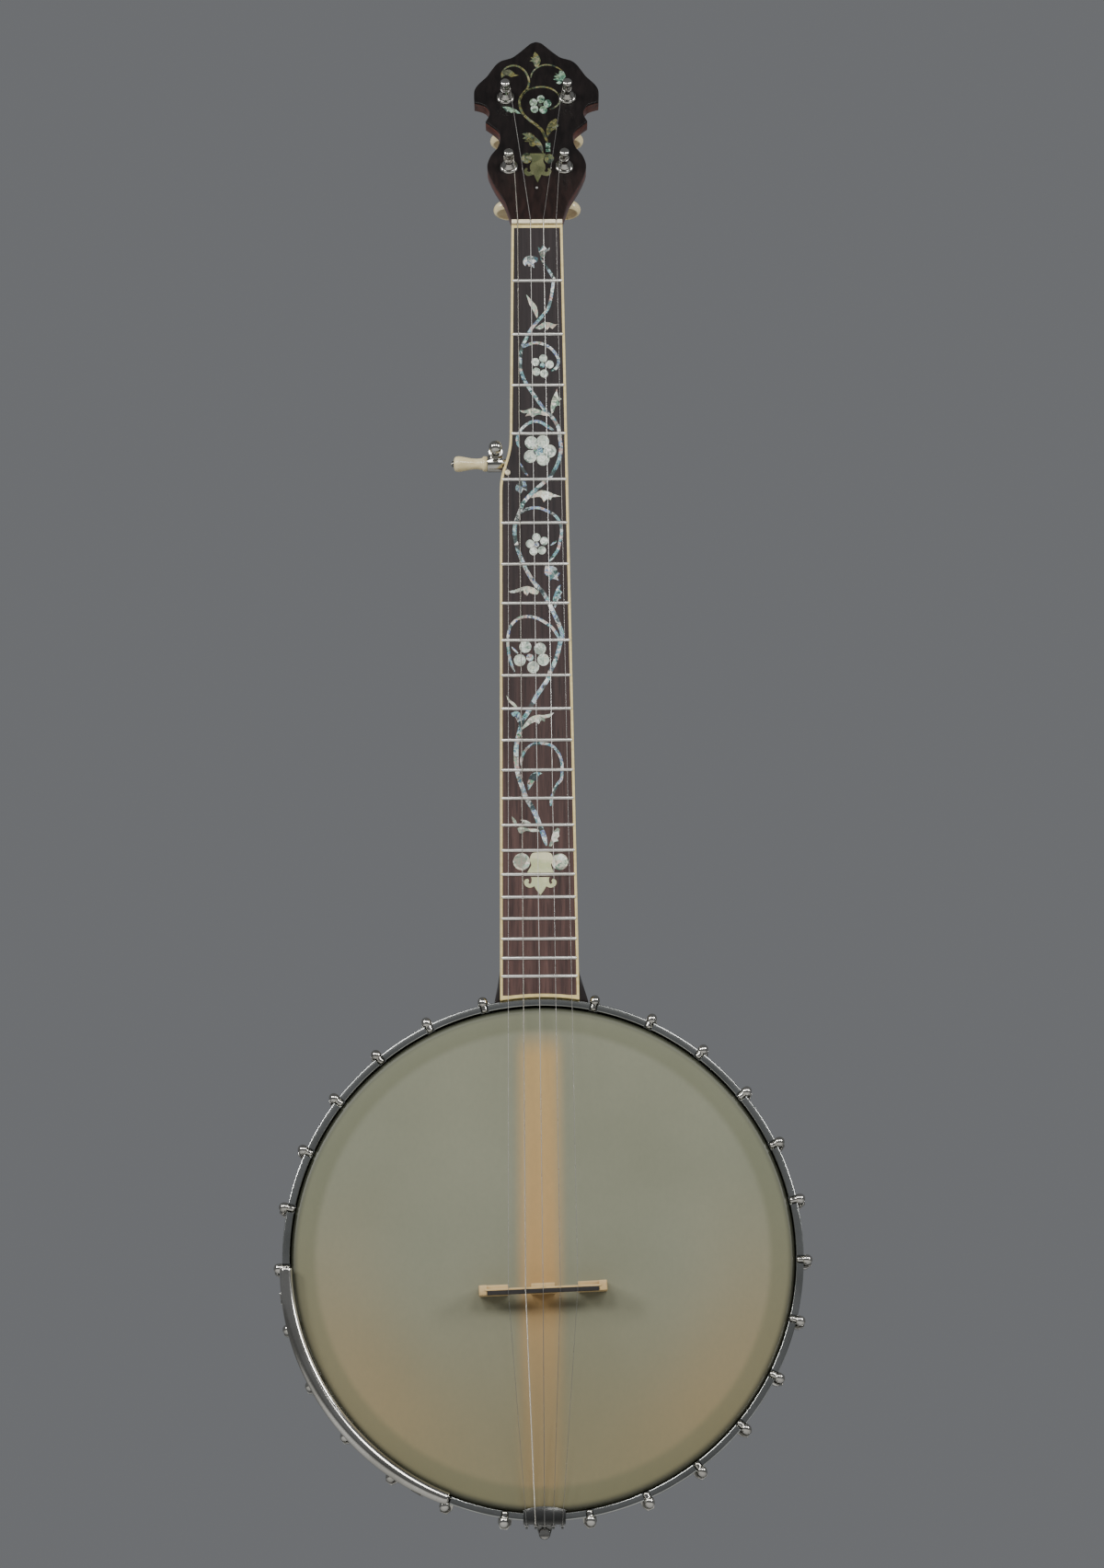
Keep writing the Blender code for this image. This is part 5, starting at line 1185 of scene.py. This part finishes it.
HEADSTOCK_GREEN = [
    [(608.1, 76.9), (612.5, 78.1), (615, 83.1), (612.5, 86.3), (611.9, 88.8), (608.1, 91.3), (604.4, 90),
     (606.9, 88.1), (601.3, 86.3), (605.6, 85), (601.9, 83.1), (606.3, 81.3), (602.5, 79.4),
     (607.5, 81.3)],
    [(546.3, 116.3), (551.3, 116), (556.9, 117.5), (561.9, 120), (566.3, 123.8), (561.3, 123.1),
     (558.8, 121.9), (555.6, 122.8), (553.8, 121.3), (550.6, 121)],
    [(593.1, 155.6), (598.1, 155.6), (598.1, 160.6), (593.1, 160.6)],
    [(593.4, 161.9), (598.1, 161.9), (598.1, 165), (593.4, 165)],
]
HEADSTOCK_DISCS = [((572.5, 171.9), 5.8), ((596.9, 172.5), 5.2)]
BRAD_PIXEL = (583.4, 204)
PIP_PIXEL = (551.7, 513.8)
BRAD_PROFILE = [(0.0, 0.0007), (0.0006, 0.0006), (0.0009, 0.0002), (0.0009, -0.0004), (0.0, -0.0004)]


def on_plane(pixels, plane):
    return [seen_at(pixel, plane) for pixel in pixels]


def disc(pixel, radius, plane, points=20):
    """Round outline about a pixel, with its radius in pixels."""
    x, y = pixel
    return on_plane([(x + radius * math.cos(a), y + radius * math.sin(a))
                     for a in full_turn(points)], plane)


def add_ribbon(shape, pixels, start_width, end_width, plane, high):
    """Thin band that follows a line of pixels, its widths in pixels, with pointed ends."""
    line = smoothed([Vector(pixel) for pixel in pixels], 5)
    last = len(line) - 1
    rings = []
    for i, point in enumerate(line):
        ahead = (line[min(i + 1, last)] - line[max(i - 1, 0)]).normalized()
        side = Vector((-ahead.y, ahead.x))
        taper = min(1.0, 0.3 + min(i, last - i) * 0.2)
        half = (start_width + (end_width - start_width) * i / last) / 2 * taper
        left = seen_at(point + side * half, plane)
        right = seen_at(point - side * half, plane)
        rings.append([Vector((*side_point, out)) for side_point, out in (
            (left, INLAY_BASE), (left, high), (right, high), (right, INLAY_BASE))])
    skin_rings(shape, rings, capped=True)


def ribbons(name, lines, plane, look, proud=1.0):
    """Inlaid bands, each given as start width, end width and its line of pixels."""
    shape = bmesh.new()
    for start_width, end_width, pixels in lines:
        add_ribbon(shape, pixels, start_width, end_width, plane, INLAY_PROUD * proud)
    piece = from_shape(name, shape, look, plane)
    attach(piece, "banjo")


def mirrored(outline, middle=0.0):
    """The other half of an outline that is alike on both sides of a middle."""
    return [(2 * middle - x, y) for x, y in outline[::-1]]


def leaf(pixels, plane):
    """Outline with soft sides and sharp tips, without points that fall on one another."""
    points = [Vector(pixel) for pixel in pixels]
    apart = [point for i, point in enumerate(points) if (point - points[i - 1]).length > LEAST_STEP]
    return on_plane(curved_outline(apart, 62, 4), plane)


def petals(flower, plane):
    """Outlines of a flower's petals, and of its centre."""
    radius, centre, centre_radius, middles = flower
    around = [disc(middle, radius * PETAL_SHARE, plane) for middle in middles]
    return around, disc(centre, centre_radius * FLOWER_CENTRE_SHARE, plane)


def inlay(name, outlines, plane, look, proud=1.0):
    """Plates let into a plane, standing out of it by a multiple of the common height."""
    piece = plates(name, [[outline] for outline in outlines], INLAY_BASE, INLAY_PROUD * proud, plane, look)
    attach(piece, "banjo")


def make_board_inlays():
    ribbons("board_vine", [(3.2, 5.2, MAIN_VINE)], NECK, ABALONE)
    ribbons("board_tendrils", [(2.8, 3.2, line) for line in BOARD_TENDRILS], NECK, ABALONE, 0.8)
    inlay("blue_leaves", [leaf(line, NECK) for line in BLUE_LEAVES], NECK, ABALONE, 1.3)
    inlay("white_leaves", [leaf(line, NECK) for line in WHITE_LEAVES], NECK, WHITE_PEARL, 1.4)
    around, centres = zip(*(petals(flower, NECK) for flower in BOARD_FLOWERS))
    inlay("flower_petals", [petal for outer in around for petal in outer], NECK, PETAL_PEARL, 1.2)
    inlay("flower_centres", centres, NECK, ABALONE, 1.7)
    fleur = BOARD_FLEUR_RIGHT + mirrored(BOARD_FLEUR_RIGHT, BOARD_FLEUR_MIDDLE)
    inlay("urn", [leaf(URN, NECK), leaf(fleur, NECK)], NECK, PALE_GOLD, 1.2)
    inlay("urn_discs", [disc(pixel, radius, NECK, 32) for pixel, radius in URN_DISCS], NECK, WHITE_PEARL)


def make_headstock_inlays():
    ribbons("headstock_vine", HEADSTOCK_VINES, HEADSTOCK, GOLD_PEARL)
    inlay("headstock_gold", [leaf(line, HEADSTOCK) for line in HEADSTOCK_GOLD], HEADSTOCK, GOLD_PEARL, 1.4)
    fleur = HEADSTOCK_FLEUR_RIGHT + mirrored(HEADSTOCK_FLEUR_RIGHT, HEADSTOCK_FLEUR_MIDDLE)
    inlay("headstock_fleur", [leaf(fleur, HEADSTOCK)], HEADSTOCK, GREEN_GOLD, 1.4)
    inlay("headstock_green", [leaf(line, HEADSTOCK) for line in HEADSTOCK_GREEN], HEADSTOCK, GREEN_PEARL, 1.3)
    outer, middle = petals(HEADSTOCK_FLOWER, HEADSTOCK)
    inlay("headstock_petals", outer, HEADSTOCK, GREEN_PEARL, 1.2)
    inlay("headstock_flower_middle", [middle], HEADSTOCK, GOLD_PEARL, 1.7)
    discs = [disc(pixel, radius, HEADSTOCK, 28) for pixel, radius in HEADSTOCK_DISCS]
    inlay("headstock_discs", discs, HEADSTOCK, GOLD_PEARL, 0.9)
    brad_place = HEADSTOCK @ Matrix.Translation((*seen_at(BRAD_PIXEL, HEADSTOCK), 0))
    brad = turned("brad", BRAD_PROFILE, brad_place, FRET_METAL, 20)
    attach(brad, "banjo")


def make_headstock_veneer():
    loops = boundary_loops("headstock_veneer", HEADSTOCK, 1)
    outer = curved_outline(without_middle_points(loops[0], 0.2), 38, 5)
    holes = [smoothed(hole, 3, closed=True) for hole in loops[1:]]
    veneer = plates("veneer", [[outer] + holes], -VENEER_THICKNESS, 0.0, HEADSTOCK, VENEER, 0.0002)
    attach(veneer, "banjo")
    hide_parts("headstock_veneer")


# Pegs

PEG_POST = [
    (0.0, 0.0165), (0.0014, 0.01645), (0.0025, 0.0161), (0.003, 0.0155), (0.0031, 0.0147),
    (0.0029, 0.0138), (0.0025, 0.0131), (0.0024, 0.0124), (0.0024, 0.0118), (0.0026, 0.0115),
    (0.0026, 0.0111), (0.0024, 0.0108), (0.0023, 0.0098), (0.0023, 0.008), (0.0024, 0.0068),
    (0.0027, 0.0058), (0.0027, 0.0054), (0.0033, 0.0046), (0.004, 0.0038), (0.0046, 0.003),
    (0.0049, 0.0023), (0.0049, 0.0019), (0.003, 0.0019), (0.003, -0.009), (0.0, -0.009),
]
SHAFT_START = HOUSING_BACK - HOUSING_LENGTH * 0.55
PEG_SHAFT = [(0.0, SHAFT_START), (0.0030, SHAFT_START), (0.0030, -0.0365), (0.0036, -0.0372),
             (0.0036, -0.0384), (0.0030, -0.0390), (0.0030, -0.0440), (0.0, -0.0440)]

# The block that a grip is rounded from is larger than the grip, because rounding shrinks it.
GRIP_BLOCK = 1.28
GRIP_HALF_WIDTH = 0.0108 * GRIP_BLOCK
GRIP_HALF_THICKNESS = 0.0049 * GRIP_BLOCK
GRIP_HALF_LENGTH = 0.00775 * GRIP_BLOCK
GRIP_MIDDLE = -0.046
GRIP_NARROW = 0.8
GRIP_EDGE = 0.001
HOLLOW_WIDTH = 0.0084
HOLLOW_LENGTH = 0.0062
HOLLOW_DEPTH = 0.0024
HOLLOW_SHADE_REACH = 0.94


def housing_profile():
    """Bushing over the face, shank through the wood and ringed barrel behind it."""
    back = HOUSING_BACK
    end = back - HOUSING_LENGTH
    return [
        (0.0033, 0.0016), (0.0046, 0.0016), (0.0052, 0.0013), (0.0057, 0.0007), (0.0058, GAP),
        (0.0050, GAP), (0.0050, back), (0.0062, back), (0.0065, back - 0.0006), (0.0065, back - 0.0030),
        (0.0060, back - 0.0034), (0.0060, back - 0.0040), (0.0065, back - 0.0044), (0.0065, end + 0.0050),
        (0.0062, end + 0.0040), (0.0053, end + 0.0012), (0.0046, end), (0.0033, end),
    ]


def make_pegs():
    for number in (1, 2, 3, 4):
        matrix = joint_frame(f"peg_{number}_turn")
        housing = turned(f"peg_{number}_case", housing_profile(), matrix, NICKEL, 48, ring=True)
        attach(housing, "banjo")
        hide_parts(f"peg_{number}_housing")
        post = turned(f"peg_{number}_string_post", PEG_POST, matrix, NICKEL, 40)
        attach(post, f"peg_{number}_post_body")
        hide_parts(f"peg_{number}_post")
        grip = button_grip(number, matrix)
        shaft = turned(f"peg_{number}_shaft", PEG_SHAFT, matrix, NICKEL, 32)
        for piece in (grip, shaft):
            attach(piece, f"peg_{number}_button_body")
        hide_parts(f"peg_{number}_button")


def hollow_share(point):
    """0 in the middle of a grip's hollow and 1 at its rim."""
    return math.hypot(point.x / HOLLOW_WIDTH, (point.z - GRIP_MIDDLE) / HOLLOW_LENGTH)


def hollow_out(mesh):
    """Sinks a dish for the thumb and one for the finger, with painted shade in each: their middles take a
    darker cream.
    """
    for vertex in mesh.vertices:
        share = hollow_share(vertex.co)
        if share < 1 and abs(vertex.co.y) > GRIP_EDGE:
            vertex.co.y -= math.copysign(HOLLOW_DEPTH * (1 - share ** 4), vertex.co.y)
    mesh.materials.append(HOLLOW.material)
    # Painted shade: the middle of each dish takes the darker cream.
    for face in mesh.polygons:
        if hollow_share(face.center) < HOLLOW_SHADE_REACH and abs(face.center.y) > GRIP_EDGE:
            face.material_index = 1


def button_grip(number, matrix):
    """Smooth oval grip, narrower towards its shaft."""
    shape = bmesh.new()
    bmesh.ops.create_cube(shape, size=2)
    for vertex in shape.verts:
        x, y, z = vertex.co
        half_width = GRIP_HALF_WIDTH * (GRIP_NARROW if z > 0 else 1.0)
        vertex.co = (x * half_width, y * GRIP_HALF_THICKNESS, GRIP_MIDDLE + z * GRIP_HALF_LENGTH)
    grip = from_shape(f"peg_{number}_grip", shape, BUTTON)
    smooth = grip.modifiers.new("rounding", "SUBSURF")
    smooth.levels = 5
    apply_modifiers(grip)
    hollow_out(grip.data)
    grip.data.transform(matrix)
    grip.data.shade_smooth()
    return grip


FIFTH_BUTTON_PROFILE = [
    (0.002, -0.0032), (0.002, 0.0), (0.004, 0.0), (0.0046, 0.0003), (0.00475, 0.0008), (0.00475, 0.0024),
    (0.0046, 0.0029), (0.004, 0.0032), (0.0037, 0.0034), (0.00345, 0.005), (0.0033, 0.0066),
    (0.0034, 0.0088), (0.0037, 0.0112), (0.0042, 0.0138), (0.0047, 0.0164), (0.0049, 0.0182),
    (0.0047, 0.0198), (0.004, 0.0207), (0.0024, 0.0212), (0.0, 0.0213), (0.0, -0.0032),
]
FIFTH_BUTTON_END = 0.0226
FIFTH_CAP_PROFILE = [
    (0.0, 0.0205), (0.0019, 0.0205), (0.002, 0.0216), (0.0016, 0.0223), (0.0007, 0.0226), (0.0, 0.0226),
]
FIFTH_TIP_PROFILE = [(0.0, 0.0222), (0.0007, 0.0222), (0.0005, 0.0228), (0.0, 0.0229)]
FIFTH_COLLAR_PROFILE = [(0.0022, 0.0040), (0.0026, 0.0037), (0.0026, 0.0030), (0.0022, 0.0027)]
FIFTH_BALL_RADIUS = 0.0041
FIFTH_BALL_HEIGHT = 0.0095
FIFTH_POST_RADIUS = 0.0022
FIFTH_POST_FOOT = -0.006


def fifth_post_profile():
    """Ball on a short neck with a small collar."""
    radius = FIFTH_BALL_RADIUS
    angles = arc(math.pi - math.asin(FIFTH_POST_RADIUS / radius), 16)
    ball = [(radius * math.sin(a), FIFTH_BALL_HEIGHT + radius * math.cos(a)) for a in angles]
    return ball + FIFTH_COLLAR_PROFILE + [(FIFTH_POST_RADIUS, FIFTH_POST_FOOT), (0.0, FIFTH_POST_FOOT)]


def along_axis(origin, out):
    matrix = Vector(out).normalized().to_track_quat("Z", "Y").to_matrix().to_4x4()
    matrix.translation = origin
    return matrix


def make_fifth_peg():
    """Geared peg: polished case, post with a ball on top, and a vase-shaped button with its end cap."""
    refined("fifth_peg_housing", NICKEL, "fifth_peg_case", 0.0003)
    button_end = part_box("fifth_peg_button")[0].x
    centre = Vector(joint_named("fifth_peg_turn")["pos_m"])
    place = along_axis(Vector((button_end + FIFTH_BUTTON_END, centre.y, centre.z)), (-1, 0, 0))
    button = turned("fifth_button", FIFTH_BUTTON_PROFILE, place, BUTTON, 48, smooth_below=50)
    cap = turned("fifth_button_cap", FIFTH_CAP_PROFILE, place, DARK_NICKEL, 24)
    tip = turned("fifth_button_tip", FIFTH_TIP_PROFILE, place, BONE, 16)
    for piece in (button, cap, tip):
        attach(piece, "fifth_peg_button_body")
    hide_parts("fifth_peg_button")
    post = turned("fifth_ball_post", fifth_post_profile(), joint_frame("fifth_peg_post_turn"), NICKEL, 48)
    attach(post, "fifth_peg_post_body")
    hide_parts("fifth_peg_post")


LOOP_RADIUS = 0.0013
LOOP_WIRE_RADIUS = 0.00032


def make_tail_loops():
    """The strings' looped ends round the tailpiece's pegs."""
    loops = []
    for place in (-2, -1, 0, 1, 2):
        centre = Vector((place * TAIL_STRING_SPACING, -HOOP_OUTER - 0.0026, -0.0040))
        rings = []
        for turn in full_turn(24):
            spoke = Vector((math.cos(turn) * LOOP_RADIUS, 0, math.sin(turn) * LOOP_RADIUS - 0.0002))
            outward = spoke.normalized()
            sideways = Vector((0, 1, 0))
            rings.append([centre + spoke + (outward * math.cos(a) + sideways * math.sin(a)) * LOOP_WIRE_RADIUS
                          for a in full_turn(8)])
        shape = bmesh.new()
        skin_rings(shape, rings, closed_along=True)
        loops.append(from_shape("loop", shape, STEEL, POT))
    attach(joined("string_loops", loops, STEEL), "banjo")


def make_strings():
    """Plain strings, and the wound fourth."""
    for number in (1, 2, 3, 5):
        carry(f"string_{number}", STEEL)
    carry("string_4", WOUND)


# Bridge and strings

BRIDGE_RIGHT = [
    (0.0072, 0.0), (0.0076, 0.005), (0.0088, 0.0092), (0.011, 0.0116), (0.014, 0.0122), (0.0171, 0.0116),
    (0.0193, 0.0092), (0.0205, 0.005), (0.0209, 0.0), (0.03815, 0.0), (0.03815, 0.01), (0.0379, 0.0129),
]
BRIDGE_SIDE_FOOT = [(0.0207, 0.0), (0.0380, 0.0), (0.0380, 0.0126), (0.0209, 0.0126)]
BRIDGE_MIDDLE_FOOT = [(-0.0072, 0.0), (0.0072, 0.0), (0.0069, 0.0126), (-0.0069, 0.0126)]
BRIDGE_END = [(0.0334, 0.0100), (0.03815, 0.0100), (0.03815, 0.0142), (0.0377, 0.0150), (0.0334, 0.0152)]
BRIDGE_SLANT = math.radians(2.2)
STOOD_UP = Matrix(((1, 0, 0, 0), (0, 0, -1, 0), (0, 1, 0, 0), (0, 0, 0, 1)))
BRIDGE_TAIL_SIDE = 0.0031
BRIDGE_FOOT = 0.0060
BRIDGE_WALL = 0.0036
BRIDGE_CAP = 0.0024
BRIDGE_CAP_HALF = 0.03315
BRIDGE_CAP_LOW = 0.0130
BRIDGE_CAP_HIGH = 0.0157


def slab(half_width, low, high):
    """Outline of a bar across the bridge's middle."""
    return [(-half_width, low), (half_width, low), (half_width, high), (-half_width, high)]


def make_bridge():
    """Three-footed bridge with a thin arched wall over its feet and a dark cap along its top."""
    low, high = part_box("bridge")
    middle = (low.z + high.z) / 2 - POT.translation.z
    place = POT @ Matrix.Translation((0, middle, GAP)) @ Matrix.Rotation(BRIDGE_SLANT, 4, "Z") @ STOOD_UP
    tail_side = BRIDGE_TAIL_SIDE
    neck_side = tail_side - BRIDGE_FOOT
    wall_back = tail_side - BRIDGE_WALL
    cap_back = tail_side - BRIDGE_CAP
    arches = curved_outline([Vector(point) for point in mirrored(BRIDGE_RIGHT) + BRIDGE_RIGHT], 50, 4)
    feet = [[BRIDGE_SIDE_FOOT], [BRIDGE_MIDDLE_FOOT], [mirrored(BRIDGE_SIDE_FOOT)]]
    ends = [[BRIDGE_END], [mirrored(BRIDGE_END)]]
    spine = slab(0.0345, 0.0125, BRIDGE_CAP_HIGH)
    cap_outline = slab(BRIDGE_CAP_HALF, BRIDGE_CAP_LOW, BRIDGE_CAP_HIGH)
    parts = [
        plates("bridge_wall", [[arches]], wall_back, tail_side - 0.0002, place, BRIDGE_WOOD, 0.0002),
        plates("bridge_spine", [[spine]], wall_back, cap_back, place, BRIDGE_WOOD, 0.0002),
        plates("bridge_feet", feet, neck_side, wall_back + 0.0004, place, BRIDGE_WOOD, 0.0003),
        plates("bridge_ends", ends, neck_side, tail_side, place, BRIDGE_WOOD, 0.0003),
    ]
    body = joined("bridge_body", parts, BRIDGE_WOOD)
    cap = plates("bridge_cap", [[cap_outline]], cap_back, tail_side + 0.0001, place, CAP_WOOD, 0.0002)
    for piece in (body, cap):
        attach(piece, "banjo")
    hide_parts("bridge")


# Surroundings

LIT_POINT = (0, 0, -0.45)
LIGHTS = [
    ("left_key", (-0.8, -2.3, 0.75), (0.8, 0.7), 24),
    ("right_key", (0.8, -2.3, 0.75), (0.8, 0.7), 21),
    ("left_softbox", (-2.3, -1.5, 0.7), (0.5, 1.1), 52),
    ("right_softbox", (2.4, -1.4, 0.6), (0.5, 1.1), 44),
]
AMBIENT_COLOUR = (0.155, 0.160, 0.168, 1)
FLOOR_LEVEL = -1.7


def make_floor():
    shape = bmesh.new()
    bmesh.ops.create_grid(shape, x_segments=8, y_segments=8, size=12)
    look = Look("pale_floor", "nickel", roughness=0.8)
    cloud = look.noise(1.5, detail=4)
    look.colour(look.ramp(cloud, (0.2, (0.60, 0.60, 0.59)), (0.8, (0.66, 0.66, 0.65))))
    look.bump(look.noise(60, detail=4), 0.05, 0.001)
    mesh = bpy.data.meshes.new("floor")
    shape.to_mesh(mesh)
    shape.free()
    mesh.materials.append(look.material)
    floor = bpy.data.objects.new("floor", mesh)
    floor.location = (0, 0, FLOOR_LEVEL)
    bpy.context.scene.collection.objects.link(floor)


def area_light(name, place, size, power):
    data = bpy.data.lights.new(name, "AREA")
    data.shape = "RECTANGLE"
    data.size, data.size_y = size
    data.energy = power
    light = bpy.data.objects.new(name, data)
    direction = Vector(LIT_POINT) - Vector(place)
    light.matrix_world = direction.to_track_quat("-Z", "Y").to_matrix().to_4x4()
    light.matrix_world.translation = place
    bpy.context.scene.collection.objects.link(light)


def make_lights():
    world = bpy.data.worlds.new("studio")
    world.use_nodes = True
    background = world.node_tree.nodes["Background"]
    background.inputs["Color"].default_value = AMBIENT_COLOUR
    background.inputs["Strength"].default_value = 1.0
    bpy.context.scene.world = world
    for light in LIGHTS:
        area_light(*light)


def make_scene():
    make_head()
    make_tension_hoop()
    make_hooks()
    make_armrest()
    refined("rim", MAPLE, "laminated_rim", 0.0006)
    make_tone_ring()
    refined("bracket_band", NICKEL, "band_and_shoes", 0.0004)
    refined("dowel_stick", MAPLE, "dowel", 0.0006)
    refined("tailpiece", DARK_NICKEL, "tailpiece_plate", 0.0003)
    refined("tailpiece_bolt", NICKEL, "tailpiece_hanger", 0.0003, 50)
    refined("neck", MAHOGANY, "neck_wood", 0.0005)
    refined("nut", BONE, "nut_dressed", 0.0003)
    make_tail_loops()
    make_bridge()
    make_fretboard()
    make_board_inlays()
    make_headstock_veneer()
    make_headstock_inlays()
    make_pegs()
    make_fifth_peg()
    make_strings()
    make_floor()
    make_lights()
    make_camera()


make_scene()
